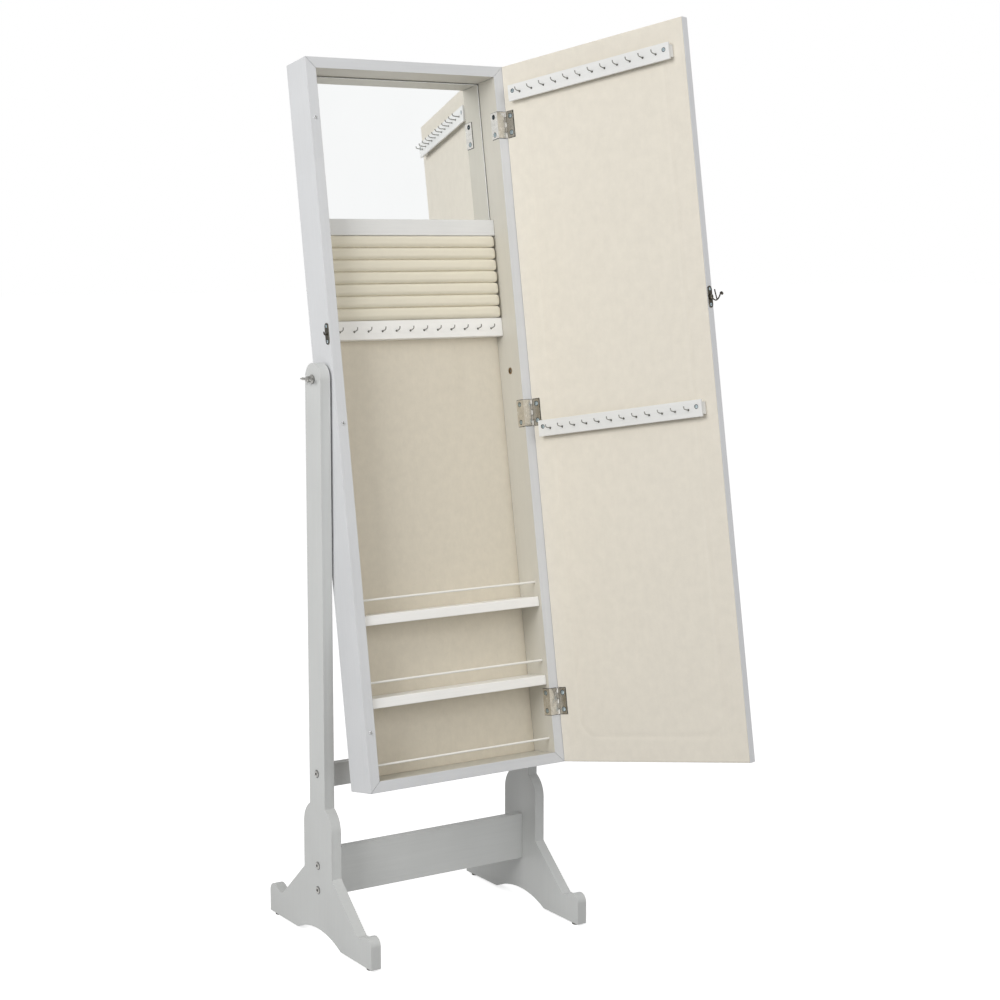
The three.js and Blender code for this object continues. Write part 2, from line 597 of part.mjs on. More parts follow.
function buildDoor(parent) {
  for (const side of ["left", "right", "top", "bottom"]) {
    const kind = side === "left" || side === "right" ? "stile" : "rail";
    node(parent, `door_${side}_${kind}`, frameMember(side), paint());
  }
  const inset = FRAME_WIDTH - LIP_WIDTH + FIT;
  const opening = [DOOR_X[0] + inset, DOOR_X[1] - inset];
  const heights = [inset, CASING_HEIGHT - inset];
  const mirrorFront = DOOR_OUTER + LIP_THICKNESS + FIT;
  const mirrorBack = mirrorFront + DOOR_MIRROR_GLASS;
  node(parent, "door_mirror", box(...opening, mirrorFront, mirrorBack, ...heights), mirrorGlass());
  node(parent, "door_back_board", box(...opening, mirrorBack + FIT, FRAME_BACK, ...heights), board());
  const liningX = [DOOR_X[0] + 0.5, DOOR_X[1] - 0.5];
  const liningZ = [0.5, CASING_HEIGHT - 0.5];
  node(parent, "door_lining", box(...liningX, FRAME_BACK + FIT, DOOR_FACE, ...liningZ), creamLining());
  DOOR_RAIL_CENTRES.forEach((centre, index) => {
    node(parent, `door_hook_rail_${index + 1}`, doorHookRail(centre), railPaint());
  });
  HINGE_CENTRES.forEach((centre, index) => {
    node(parent, `door_hinge_leaf_${index + 1}`, doorLeaf(centre), nickel());
  });
  node(parent, "latch_plate", latchPlate(), agedMetal());
  const swing = node(parent, "latch_hook", latchHook(), agedMetal());
  swing.position.set(DOOR_X[0], (DOOR_FACE + DOOR_OUTER) / 2, LATCH_HEIGHT);
  swing.rotation.x = THREE.MathUtils.degToRad(REST_LATCH);
}

// ---- Assembly ----
const armoire = new THREE.Group();

const tilt = new THREE.Group();
tilt.position.z = AXIS_HEIGHT;
tilt.rotation.x = -THREE.MathUtils.degToRad(REST_TILT);
armoire.add(tilt);

const casing = new THREE.Group();
casing.position.set(0, -PIVOT_DEPTH, -PIVOT_HEIGHT);
tilt.add(casing);

const door = new THREE.Group();
door.position.set(HALF - HINGE_INSET, -DOOR_GAP / 2, 0);
door.rotation.z = THREE.MathUtils.degToRad(REST_OPENING);
casing.add(door);

buildStand(armoire);
buildPivot(armoire, casing);
buildCasing(casing);
buildDoor(door);

// The origin is the middle of the whole object's box, on the floor.
armoire.updateMatrixWorld(true);
const bounds = new THREE.Box3().setFromObject(armoire, true);
armoire.position.set(-(bounds.min.x + bounds.max.x) / 2, -(bounds.min.y + bounds.max.y) / 2, 0);
armoire.updateMatrixWorld(true);

export default armoire;
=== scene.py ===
"""Jewelry armoire in its cheval stand: materials, fine pieces, soft rolls, camera and light."""

import json
import math

import bmesh
import bpy
from mathutils import Matrix, Vector, noise


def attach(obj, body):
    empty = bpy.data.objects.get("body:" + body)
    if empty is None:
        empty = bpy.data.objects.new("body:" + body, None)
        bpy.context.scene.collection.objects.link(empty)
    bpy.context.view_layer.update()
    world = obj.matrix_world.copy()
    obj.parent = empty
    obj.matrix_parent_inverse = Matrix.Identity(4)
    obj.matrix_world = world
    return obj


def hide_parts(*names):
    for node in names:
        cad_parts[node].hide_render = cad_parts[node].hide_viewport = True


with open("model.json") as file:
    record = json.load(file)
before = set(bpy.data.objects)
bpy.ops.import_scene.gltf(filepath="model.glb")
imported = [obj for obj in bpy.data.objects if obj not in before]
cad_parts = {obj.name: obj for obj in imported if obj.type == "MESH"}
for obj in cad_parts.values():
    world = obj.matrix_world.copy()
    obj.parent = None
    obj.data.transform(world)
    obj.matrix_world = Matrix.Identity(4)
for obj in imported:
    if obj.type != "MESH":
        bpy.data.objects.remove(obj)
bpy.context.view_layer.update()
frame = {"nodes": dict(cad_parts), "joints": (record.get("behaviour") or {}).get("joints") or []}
nodes = frame["nodes"]

MM = 0.001


# ---- places
# A place turns local millimetres into the row frame. Casing: X across, Y from the front plane to
# the back, Z up from the bottom. Door: the same directions, carried round with the open door, from
# the hinge axis. Latch: as the door, from the hook's axis. Stand: from the floor under the tilt axis.
def joint(name):
    return next(j for j in frame["joints"] if j["name"] == name)


def place(x_axis, z_axis, origin):
    y_axis = z_axis.cross(x_axis)
    turn = Matrix((x_axis, y_axis, z_axis)).transposed().to_4x4()
    return Matrix.Translation(origin) @ turn @ Matrix.Scale(MM, 4)


def local_box(node, where):
    """Lowest and highest corner of a CAD node in a place's own millimetres."""
    back = where.inverted()
    points = [back @ v.co for v in nodes[node].data.vertices]
    low = Vector([min(p[i] for p in points) for i in range(3)])
    high = Vector([max(p[i] for p in points) for i in range(3)])
    return low, high


ACROSS = Vector((1, 0, 0))
UP = Vector(joint("door_swing")["axis"]).normalized()
TILT_AT = Vector(joint("casing_tilt")["pos_m"])
untrimmed = place(ACROSS, UP, TILT_AT)
left_low = local_box("casing_left_side", untrimmed)[0]
right_high = local_box("casing_right_side", untrimmed)[1]
CASING = untrimmed @ Matrix.Translation(((left_low.x + right_high.x) / 2, left_low.y, left_low.z))

hinge_at = CASING.inverted() @ Vector(joint("door_swing")["pos_m"])
DOOR_ACROSS = Vector(joint("latch_swing")["axis"]).normalized()
DOOR = place(DOOR_ACROSS, UP, CASING @ Vector((hinge_at.x, hinge_at.y, 0)))
LATCH = place(DOOR_ACROSS, UP, Vector(joint("latch_swing")["pos_m"]))
STAND = place(ACROSS, Vector((0, 0, 1)), Vector((TILT_AT.x, TILT_AT.y, 0)))


# ---- materials
class Shader:
    """A Principled material and short ways to add nodes to it."""

    def __init__(self, name, color, roughness, metallic=0.0):
        self.material = bpy.data.materials.new(name)
        self.material.use_nodes = True
        self.tree = self.material.node_tree
        self.shader = self.tree.nodes["Principled BSDF"]
        self.set("Base Color", (*color, 1))
        self.set("Roughness", roughness)
        self.set("Metallic", metallic)

    def feed(self, socket, value):
        if isinstance(value, bpy.types.NodeSocket):
            self.tree.links.new(value, socket)
        else:
            socket.default_value = value

    def set(self, socket, value):
        self.feed(self.shader.inputs[socket], value)

    def add(self, kind, output, **values):
        """A new node's output. Lower-case names are the node's settings, the others its sockets."""
        made = self.tree.nodes.new(kind)
        for key, value in values.items():
            if key[0].islower():
                setattr(made, key, value)
            else:
                self.feed(made.inputs[key.replace("_", " ")], value)
        return made.outputs[output]

    def coordinates(self, where, stretch=(1, 1, 1)):
        """Metres along a place's own axes, stretched."""
        point = self.add("ShaderNodeTexCoord", "Object")
        turned = self.add("ShaderNodeMapping", "Vector", Rotation=where.inverted().to_euler(), Vector=point)
        return self.add("ShaderNodeMapping", "Vector", Scale=stretch, Vector=turned)

    def noise(self, vector, scale, detail, roughness=0.5):
        return self.add("ShaderNodeTexNoise", "Fac", Scale=scale, Detail=detail, Roughness=roughness,
                        Vector=vector)

    def waves(self, vector, scale, direction, distortion):
        return self.add("ShaderNodeTexWave", "Fac", wave_type="BANDS", bands_direction=direction,
                        Scale=scale, Distortion=distortion, Vector=vector)

    def spread(self, factor, low, high, from_low=0.3, from_high=0.7):
        return self.add("ShaderNodeMapRange", "Result", From_Min=from_low, From_Max=from_high,
                        To_Min=low, To_Max=high, Value=factor)

    def math(self, operation, first, second):
        made = self.tree.nodes.new("ShaderNodeMath")
        made.operation = operation
        self.feed(made.inputs[0], first)
        self.feed(made.inputs[1], second)
        return made.outputs["Value"]

    def plus(self, first, second, share):
        """The first, and a share of the second."""
        return self.math("ADD", first, self.math("MULTIPLY", second, share))

    def shares(self, first, share, second, other_share):
        return self.plus(self.math("MULTIPLY", first, share), second, other_share)

    def blend(self, factor, dark, light):
        """Colour that runs from dark to light with the factor."""
        ramp = self.tree.nodes.new("ShaderNodeValToRGB")
        for element, position, color in zip(ramp.color_ramp.elements, (0.3, 0.7), (dark, light)):
            element.position = position
            element.color = (*color, 1)
        self.feed(ramp.inputs["Fac"], factor)
        return ramp.outputs["Color"]

    def color(self, factor, base, change):
        """Base colour that strays from its middle by the given share."""
        light = [min(1.0, c * (1 + change)) for c in base]
        dark = [c * (1 - change) for c in base]
        self.set("Base Color", self.blend(factor, dark, light))

    def rough(self, factor, low, high):
        self.set("Roughness", self.spread(factor, low, high))

    def bump(self, height, depth_mm, strength):
        self.set("Normal", self.add("ShaderNodeBump", "Normal", Strength=strength, Distance=depth_mm * MM,
                                    Height=height))


GRAIN = {"x": (4, 130, 130), "z": (130, 130, 4)}  # stretch of the grain in a board along x or z
THREAD_WAVE = 3.2  # a wave texture's own scale per thread


def paint(name, color, where, along, roughness=0.42):
    """Satin paint over wood: cloudy tone, the grain that telegraphs through, and orange peel."""
    s = Shader(name, color, roughness)
    cloud = s.noise(s.coordinates(where), 9, 3)
    grain = s.noise(s.coordinates(where, GRAIN[along]), 2.2, 5, 0.6)
    peel = s.noise(s.coordinates(where), 900, 2)
    s.color(s.shares(cloud, 0.55, grain, 0.45), color, 0.045)
    s.rough(grain, roughness - 0.05, roughness + 0.07)
    s.bump(s.plus(grain, peel, 0.25), 0.13, 0.5)
    s.set("Specular IOR Level", 0.35)
    return s.material


def woven(name, color, where, thread_mm, change=0.05, fuzz=0.25, slub=(30, 30, 3), slubs=0.55):
    """Plain woven cloth with thread pitch thread_mm, slubs that run upward, and a soft nap."""
    s = Shader(name, color, 0.92)
    threads = 1 / (thread_mm * MM) / THREAD_WAVE
    flat = s.coordinates(where)
    warp = s.waves(flat, threads, "X", 0.6)
    side = s.waves(flat, threads, "Y", 0.6)
    weft = s.waves(flat, threads, "Z", 0.6)
    weave = s.math("MULTIPLY", s.math("MAXIMUM", warp, side), weft)
    streaks = s.noise(s.coordinates(where, slub), 6, 4, 0.55)
    mottle = s.noise(flat, 60, 4, 0.6)
    tone = s.shares(streaks, slubs, mottle, 0.9 - slubs)
    s.color(s.plus(tone, weave, 0.1), color, change)
    s.bump(s.plus(weave, mottle, 0.5), 0.16, 0.6)
    s.set("Specular IOR Level", 0.15)
    s.set("Sheen Weight", fuzz)
    s.set("Sheen Roughness", 0.5)
    return s.material


def plated(name, color, where, roughness, change=0.06):
    """Plated metal with fine brushing and handling marks."""
    s = Shader(name, color, roughness, 1.0)
    brushed = s.noise(s.coordinates(where, (1, 1, 0.08)), 900, 3)
    marks = s.noise(s.coordinates(where), 130, 4, 0.6)
    s.color(marks, color, change)
    s.rough(s.shares(brushed, 0.5, marks, 0.5), max(0.04, roughness - 0.08), roughness + 0.12)
    s.bump(brushed, 0.02, 0.4)
    return s.material


def aged(name, where):
    """Dark antique plate, rubbed bright where edges stand out."""
    dark = (0.055, 0.048, 0.036)
    bright = (0.42, 0.40, 0.34)
    s = Shader(name, dark, 0.34, 1.0)
    marks = s.noise(s.coordinates(where), 420, 4, 0.65)
    edge = s.spread(s.add("ShaderNodeNewGeometry", "Pointiness"), 0, 1, 0.50, 0.60)
    wear = s.math("MULTIPLY", edge, s.spread(marks, 0.25, 1.0))
    s.set("Base Color", s.blend(wear, dark, bright))
    s.rough(marks, 0.26, 0.46)
    s.bump(marks, 0.05, 0.5)
    return s.material


def silvered(name, where):
    """Mirror glass with a faint film of dust."""
    color = (0.93, 0.94, 0.94)
    s = Shader(name, color, 0.015, 1.0)
    film = s.noise(s.coordinates(where), 7, 4, 0.6)
    s.color(film, color, 0.008)
    s.rough(film, 0.008, 0.028)
    return s.material


def hardboard(name, where):
    """Pressed brown fibre, flecked."""
    color = (0.36, 0.27, 0.18)
    s = Shader(name, color, 0.82)
    fleck = s.noise(s.coordinates(where), 420, 5, 0.7)
    cloud = s.noise(s.coordinates(where), 14, 3)
    s.color(s.shares(fleck, 0.6, cloud, 0.4), color, 0.16)
    s.bump(fleck, 0.12, 0.5)
    return s.material


def moulded(name, color, where, roughness, through=0.0):
    """Moulded plastic with a fine stipple, clear where through is above 0."""
    s = Shader(name, color, roughness)
    stipple = s.noise(s.coordinates(where), 700, 3)
    s.color(s.noise(s.coordinates(where), 90, 2), color, 0.05)
    s.rough(stipple, max(0.03, roughness - 0.06), roughness + 0.08)
    s.bump(stipple, 0.04, 0.4)
    s.set("Transmission Weight", through)
    return s.material


GREY = (0.665, 0.673, 0.683)
INSIDE_SHADE_GREY = (0.585, 0.562, 0.497)  # painted shade and warm bounced light: a darker, warmer grey for the casing's inward faces
DOOR_GREY_PAINTED_LIGHT = (0.840, 0.845, 0.855)  # painted light: the door's grey made lighter than the casing's, so that the door's free edge shows as pale as it does
STAND_GREY = (0.605, 0.614, 0.602)
WHITE = (0.770, 0.770, 0.755)
# painted light: a lighter copy of the white fittings' paint, for the shelves and the casing's hook strip
SHELF_WHITE_PAINTED_LIGHT = (0.925, 0.915, 0.885)
ROD_WHITE = (0.880, 0.865, 0.820)
PAINT_STAND_Z = paint("paint_stand_upright", STAND_GREY, STAND, "z")
PAINT_STAND_X = paint("paint_stand_crossbar", STAND_GREY, STAND, "x")
PAINT_CASING_Z = paint("paint_casing_side", GREY, CASING, "z")
PAINT_CASING_X = paint("paint_casing_end", GREY, CASING, "x")
# painted light: the door's stiles and rails in the lighter grey
PAINT_DOOR_Z = paint("paint_door_stile_painted_light", DOOR_GREY_PAINTED_LIGHT, DOOR, "z")
PAINT_DOOR_X = paint("paint_door_rail_painted_light", DOOR_GREY_PAINTED_LIGHT, DOOR, "x")
# painted shade and warm bounced light on the casing's inward faces
PAINT_INSIDE_SHADED = paint("paint_casing_inside_painted_shade", INSIDE_SHADE_GREY, CASING, "z")
# painted light: the lighter white on the shelves and the casing's hook strip
SHELF_PAINT_LIT = paint("white_paint_shelves_painted_light", SHELF_WHITE_PAINTED_LIGHT, CASING, "x", 0.36)
WHITE_CASING = paint("white_paint_casing", WHITE, CASING, "x", 0.36)
WHITE_DOOR = paint("white_paint_door", WHITE, DOOR, "x", 0.36)
ROD_PAINT = paint("white_paint_rods", ROD_WHITE, CASING, "x", 0.30)
BEIGE = woven("beige_lining_cloth", (0.735, 0.678, 0.566), CASING, 0.9, 0.05, 0.2, (40, 40, 12), 0.25)
CREAM = woven("cream_lining_cloth", (0.785, 0.738, 0.645), DOOR, 0.8, 0.036, 0.2, slubs=0.20)
ROLL_CLOTH = woven("roll_cloth", (0.820, 0.768, 0.630), CASING, 0.7, 0.025, 0.35, (6, 60, 60))
# painted light and shade: the hinges' one plating, lighter on the casing's leaves and darker on the door's
NICKEL_CASING_LIT = plated("nickel_casing_painted_light", (0.72, 0.70, 0.66), CASING, 0.22, 0.10)
NICKEL_DOOR_SHADED = plated("nickel_door_painted_shade", (0.43, 0.405, 0.355), DOOR, 0.24, 0.12)
NICKEL_STAND = plated("nickel_stand", (0.30, 0.295, 0.28), STAND, 0.15, 0.16)
HOOK_WIRE_CASING = plated("hook_wire_casing", (0.27, 0.27, 0.25), CASING, 0.30)
HOOK_WIRE_DOOR = plated("hook_wire_door", (0.27, 0.27, 0.25), DOOR, 0.30)
ZINC_CASING = plated("zinc_casing", (0.42, 0.50, 0.53), CASING, 0.28)
ZINC_DOOR = plated("zinc_door", (0.42, 0.50, 0.53), DOOR, 0.28)
AGED_CASING = aged("aged_metal_casing", CASING)
AGED_DOOR = aged("aged_metal_door", DOOR)
AGED_LATCH = aged("aged_metal_latch", LATCH)
BRASS = plated("insert_brass", (0.34, 0.23, 0.12), CASING, 0.38, 0.15)
MIRROR_CASING = silvered("interior_mirror_glass", CASING)
MIRROR_DOOR = silvered("door_mirror_glass", DOOR)
BOARD_CASING = hardboard("casing_hardboard", CASING)
BOARD_DOOR = hardboard("door_hardboard", DOOR)
# painted shade: dark metal for the rings round screw and bolt heads and the lines round hinge leaves
PAINTED_SHADE_METAL = plated("painted_countersink_shade", (0.035, 0.045, 0.05), CASING, 0.45)
# painted shade: dark metal for the collars where hooks meet their rails
COLLAR_SHADE_METAL = plated("hook_collar_painted_shade", (0.10, 0.095, 0.08), CASING, 0.40)
EDGE_DARK = moulded("mirror_edge_dark", (0.10, 0.10, 0.09), CASING, 0.35)
# painted highlight: white for the bright line on the interior mirror's bevel
EDGE_PAINTED_HIGHLIGHT = moulded("mirror_edge_painted_highlight", (0.93, 0.94, 0.93), CASING, 0.15)
GLIDE = moulded("glide_plastic", (0.075, 0.068, 0.060), STAND, 0.55)
CLEAR = moulded("clear_bumper_plastic", (0.86, 0.87, 0.88), CASING, 0.12, 0.55)


# ---- carried-over CAD nodes
WELD_WITHIN = 0.02  # mm between corners that are one
FLAT_WITHIN = math.radians(0.5)  # faces that lie in one plane
CREASE = math.radians(35)  # edges sharper than this are rounded
FACING = 0.99  # share of a normal that points the asked way
HOUSED_EDGE = 0.6  # mm of rounding on the boards of the casing and the door
INWARD = {"left_side": (1, 0, 0), "right_side": (-1, 0, 0), "top": (0, 0, -1), "bottom": (0, 0, 1)}


def dress(piece, material, edge_mm, segments):
    """Paints a piece, rounds its edges and shades it smoothly between them."""
    piece.data.materials.clear()
    piece.data.materials.append(material)
    for polygon in piece.data.polygons:
        polygon.use_smooth = True
    if edge_mm:
        bevel = piece.modifiers.new("soft_edges", "BEVEL")
        bevel.width = edge_mm * MM
        bevel.segments = segments
        bevel.limit_method = "ANGLE"
        bevel.angle_limit = CREASE
    normals = piece.modifiers.new("face_normals", "WEIGHTED_NORMAL")
    normals.keep_sharp = True


def carry(node, material, edge_mm, segments=3):
    """Keeps a CAD node's shape, rounds its edges and paints it."""
    kept = nodes[node]
    weld = kept.modifiers.new("weld", "WELD")
    weld.merge_threshold = WELD_WITHIN * MM
    flat = kept.modifiers.new("flat_faces", "DECIMATE")
    flat.decimate_type = "DISSOLVE"
    flat.angle_limit = FLAT_WITHIN
    dress(kept, material, edge_mm, segments)


def shade_inward_faces(node, axis):
    """Gives the faces of a casing board that look inward the inside's paint, made darker and warmer as
    painted shade.
    """
    board = nodes[node].data
    board.materials.append(PAINT_INSIDE_SHADED)
    inward = CASING.to_3x3() @ Vector(axis)
    for polygon in board.polygons:
        if polygon.normal.dot(inward.normalized()) > FACING:
            polygon.material_index = 1


def carry_all():
    for side in ("left", "right"):
        carry(f"{side}_leg", PAINT_STAND_Z, 1.6)
        carry(f"casing_{side}_side", PAINT_CASING_Z, HOUSED_EDGE)
        carry(f"door_{side}_stile", PAINT_DOOR_Z, HOUSED_EDGE)
        carry(f"{side}_spacer_washer", NICKEL_STAND, 0.3)
        carry(f"{side}_threaded_insert", BRASS, 0.3)
        for end in ("front", "back"):
            carry(f"{side}_{end}_glide", GLIDE, 0.8)
    for end in ("top", "bottom"):
        carry(f"casing_{end}", PAINT_CASING_X, HOUSED_EDGE)
        carry(f"door_{end}_rail", PAINT_DOOR_X, HOUSED_EDGE)
    for board, axis in INWARD.items():
        shade_inward_faces(f"casing_{board}", axis)
    for crossbar in ("lower_crossbar", "upper_crossbar"):
        carry(crossbar, PAINT_STAND_X, 1.2)
    for shelf in ("shelf_1", "shelf_2"):
        carry(shelf, SHELF_PAINT_LIT, 1.4)
    carry("mirror_rail", WHITE_CASING, 1.2)
    carry("back_panel", BOARD_CASING, 0.4)
    carry("interior_mirror_backing", BOARD_CASING, 0.3)
    carry("door_back_board", BOARD_DOOR, 0.4)
    carry("interior_mirror", MIRROR_CASING, 1.4, 2)
    carry("door_mirror", MIRROR_DOOR, 0.5)


# ---- mesh helpers, in local mm
def shell(bm, name, where):
    """A finished Blender object from a bmesh drawn in a place's millimetres."""
    bm.transform(where)
    bmesh.ops.recalc_face_normals(bm, faces=bm.faces)
    mesh = bpy.data.meshes.new(name)
    bm.to_mesh(mesh)
    bm.free()
    made = bpy.data.objects.new(name, mesh)
    bpy.context.scene.collection.objects.link(made)
    return made


def finish_piece(piece, body, material, edge_mm=0, stands_for=(), segments=3):
    """Dresses a drawn piece and sets it on its body."""
    dress(piece, material, edge_mm, segments)
    if stands_for:
        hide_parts(*stands_for)
    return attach(piece, body)


def add_box(bm, low, high):
    size = Vector(high) - Vector(low)
    middle = (Vector(high) + Vector(low)) / 2
    bmesh.ops.create_cube(bm, size=1, matrix=Matrix.Translation(middle) @ Matrix.Diagonal((*size, 1)))


def box_piece(name, where, *boxes):
    """An object of boxes, each given by its lowest and highest corner."""
    bm = bmesh.new()
    for low, high in boxes:
        add_box(bm, low, high)
    return shell(bm, name, where)


def basis(axis):
    """A turn that takes Z to the given axis."""
    return Vector((0, 0, 1)).rotation_difference(Vector(axis).normalized()).to_matrix().to_4x4()


def add_lathe(bm, profile, origin, axis, sides):
    """A closed solid turned about an axis, from (radius, height) points that start and end on it."""
    turn = Matrix.Translation(origin) @ basis(axis)
    rings = []
    for radius, height in profile:
        if radius < 1e-6:
            rings.append([bm.verts.new(turn @ Vector((0, 0, height)))])
            continue
        ring = []
        for i in range(sides):
            angle = 2 * math.pi * i / sides
            point = Vector((radius * math.cos(angle), radius * math.sin(angle), height))
            ring.append(bm.verts.new(turn @ point))
        rings.append(ring)
    for lower, upper in zip(rings, rings[1:]):
        for i in range(sides):
            k = (i + 1) % sides
            corners = [lower[i % len(lower)], lower[k % len(lower)]]
            corners += [upper[k % len(upper)], upper[i % len(upper)]]
            unique = list(dict.fromkeys(corners))
            if len(unique) > 2:
                bm.faces.new(unique)


def bridge(bm, rings, closed=False):
    """Faces from each ring of points to the next, and back to the first where closed."""
    for lower, upper in zip(rings, rings[1:] + rings[:closed]):
        for k in range(len(lower)):
            n = (k + 1) % len(lower)
            bm.faces.new((lower[k], lower[n], upper[n], upper[k]))


def bridge_capped(bm, rings):
    bridge(bm, rings)
    bm.faces.new(rings[0])
    bm.faces.new(rings[-1])


def lathe_piece(name, where, profile, origin=(0, 0, 0), axis=(0, 0, 1), sides=32):
    bm = bmesh.new()
    add_lathe(bm, profile, origin, axis, sides)
    return shell(bm, name, where)


def rod_profile(radius, length, chamfer):
    """A rod with chamfered ends."""
    return [(0, 0), (radius - chamfer, 0), (radius, chamfer), (radius, length - chamfer),
            (radius - chamfer, length), (0, length)]


def smooth_path(points, steps=6):
    """A Catmull-Rom curve through the points."""
    points = [Vector(p) for p in points]
    padded = [2 * points[0] - points[1], *points, 2 * points[-1] - points[-2]]
    path = []
    for a, b, c, d in zip(padded, padded[1:], padded[2:], padded[3:]):
        for i in range(steps):
            t = i / steps
            path.append(0.5 * (2 * b + (c - a) * t + (2 * a - 5 * b + 4 * c - d) * t ** 2
                               + (3 * b - a - 3 * c + d) * t ** 3))
    path.append(points[-1])
    return path


def add_wire(bm, points, radius, sides=14, flatten=1.0, closed=False, steps=6):
    """A round or flattened wire along a smooth path, with domed ends."""
    path = smooth_path(points, steps)
    if closed:
        path = path[:-1]
    count = len(path)
    rings = []
    side_axis = None
    for i, point in enumerate(path):
        ahead = path[(i + 1) % count] if closed else path[min(i + 1, count - 1)]
        behind = path[i - 1] if closed else path[max(i - 1, 0)]
        along = (ahead - behind).normalized()
        if side_axis is None:
            side_axis = along.cross(Vector((1, 0, 0)) if abs(along.x) < 0.9 else Vector((0, 1, 0)))
        side_axis = (side_axis - along * side_axis.dot(along)).normalized()
        other = along.cross(side_axis)
        ring = []
        for k in range(sides):
            angle = 2 * math.pi * k / sides
            offset = side_axis * math.cos(angle) * radius + other * math.sin(angle) * radius * flatten
            ring.append(bm.verts.new(point + offset))
        rings.append(ring)
    bridge(bm, rings, closed)
    if closed:
        return
    for ring, inward in ((rings[0], path[1] - path[0]), (rings[-1], path[-2] - path[-1])):
        centre = sum((v.co for v in ring), Vector()) / sides
        tip = bm.verts.new(centre - inward.normalized() * radius * 0.6)
        for k in range(sides):
            bm.faces.new((ring[k], ring[(k + 1) % sides], tip))


def bake(piece):
    """Turns what a piece's modifiers show into its own mesh."""
    graph = bpy.context.evaluated_depsgraph_get()
    result = bpy.data.meshes.new_from_object(piece.evaluated_get(graph))
    piece.modifiers.clear()
    piece.data = result
    return piece


def combine(base, other, operation, own_overlaps=False):
    """Joins or cuts two solids exactly and leaves only the first. Their own shells may overlap."""
    step = base.modifiers.new("combine", "BOOLEAN")
    step.operation = operation
    step.solver = "EXACT"
    step.use_self = own_overlaps
    step.object = other
    bake(base)
    bpy.data.objects.remove(other)


def melt(piece, voxel_mm, smoothing):
    """Fuses overlapping shells into one cast skin."""
    remesh = piece.modifiers.new("cast", "REMESH")
    remesh.mode = "VOXEL"
    remesh.voxel_size = voxel_mm * MM
    smooth = piece.modifiers.new("smooth", "SMOOTH")
    smooth.factor = 0.5
    smooth.iterations = smoothing
    return bake(piece)


# ---- screws and bolts
HINGE_SCREW = (3.7, 1.0)  # radius and rise of a screw's head
RAIL_SCREW = (3.0, 0.8)
LATCH_SCREW = (2.6, 0.7)
SCREW_SINK = 1.2  # depth of the head in its plate, and of the cross's blades
CROSS_TURN = 25  # degrees
SHADE_RING_WIDTH = 0.9  # painted shade: width of the dark ring that shows round a screw head
SHADE_RING_RISE = 0.12


def screw_profile(radius, rise):
    return [(0, -SCREW_SINK), (radius * 0.5, -SCREW_SINK), (radius, 0), (radius, 0.15),
            (radius * 0.8, rise * 0.7), (radius * 0.45, rise), (0, rise)]


def screws(name, where, middle, apart, axis, head, body, material):
    """Two cross-head screws, one on either side of the middle, each on a dark ring of painted shade."""
    spots = [Vector([at + share * gap for at, gap in zip(middle, apart)]) for share in (-0.5, 0.5)]
    radius, rise = head
    shade_ring = radius + SHADE_RING_WIDTH
    heads, shade_rings = bmesh.new(), bmesh.new()
    for spot in spots:
        add_lathe(heads, screw_profile(radius, rise), spot, axis, 24)
        add_lathe(shade_rings, [(0, 0), (shade_ring, 0), (shade_ring, SHADE_RING_RISE), (0, SHADE_RING_RISE)], spot, axis, 24)
    piece = shell(heads, name, where)
    blade = Matrix.Diagonal((radius * 1.15, radius * 0.26, SCREW_SINK, 1))
    for quarter in (0, 90):
        blades = bmesh.new()
        spin = Matrix.Rotation(math.radians(CROSS_TURN + quarter), 4, "Z")
        for spot in spots:
            turn = Matrix.Translation(spot) @ basis(axis) @ spin
            bmesh.ops.create_cube(blades, size=1, matrix=turn @ Matrix.Translation((0, 0, rise)) @ blade)
        combine(piece, shell(blades, "blades", where), "DIFFERENCE")
    # painted shade: a dark ring round each screw head
    finish_piece(shell(shade_rings, f"{name}_seats", where), body, PAINTED_SHADE_METAL)
    finish_piece(piece, body, material, 0.12, segments=2)


BOLT_RISE = 1.8  # how far a bolt's button head stands out
BOLT_SHANK = 3.0  # radius
SOCKET_RADIUS = 2.6
SOCKET_DEPTH = 3.4
SHADE_RING_BORE = 3.1  # radius of the hole in the dark ring of painted shade under the head
SHADE_RING_PAST = 0.7  # how far that ring shows past the head


def build_bolts():
    """Button-head joint bolts with a hexagonal socket."""
    for side_name, side in (("left", -1), ("right", 1)):
        for index in (1, 2, 3):
            node = f"{side_name}_joint_bolt_{index}"
            low, high = local_box(node, STAND)
            radius = (high.z - low.z) / 2
            tip, root = (high.x, low.x) if side > 0 else (low.x, high.x)
            face = tip - side * BOLT_RISE
            length = abs(face - root)
            origin = (face, (low.y + high.y) / 2, (low.z + high.z) / 2)
            axis = (side, 0, 0)
            shank = [(0, -length), (BOLT_SHANK - 0.3, -length), (BOLT_SHANK, 0.4 - length), (BOLT_SHANK, 0)]
            head = [(radius, 0), (radius, 0.5), (radius * 0.93, 1.1), (radius * 0.72, 1.62),
                    (radius * 0.5, BOLT_RISE), (0, BOLT_RISE)]
            bolt = lathe_piece(f"{node}_fine", STAND, shank + head, origin, axis, 36)
            bottom, top = BOLT_RISE - SOCKET_DEPTH, BOLT_RISE + 1
            socket = [(0, bottom), (SOCKET_RADIUS, bottom), (SOCKET_RADIUS, top), (0, top)]
            combine(bolt, lathe_piece("socket", STAND, socket, origin, axis, 6), "DIFFERENCE")
            finish_piece(bolt, "stand", NICKEL_STAND, 0.15, (node,), 2)
            # painted shade: a dark ring round the bolt's head
            rim = radius + SHADE_RING_PAST
            ring = [(SHADE_RING_BORE, 0.02), (rim, 0.02), (rim, 0.22), (SHADE_RING_BORE, 0.22), (SHADE_RING_BORE, 0.02)]
            shade_ring = lathe_piece(f"{node}_seat", STAND, ring, origin, axis)
            finish_piece(shade_ring, "stand", PAINTED_SHADE_METAL)


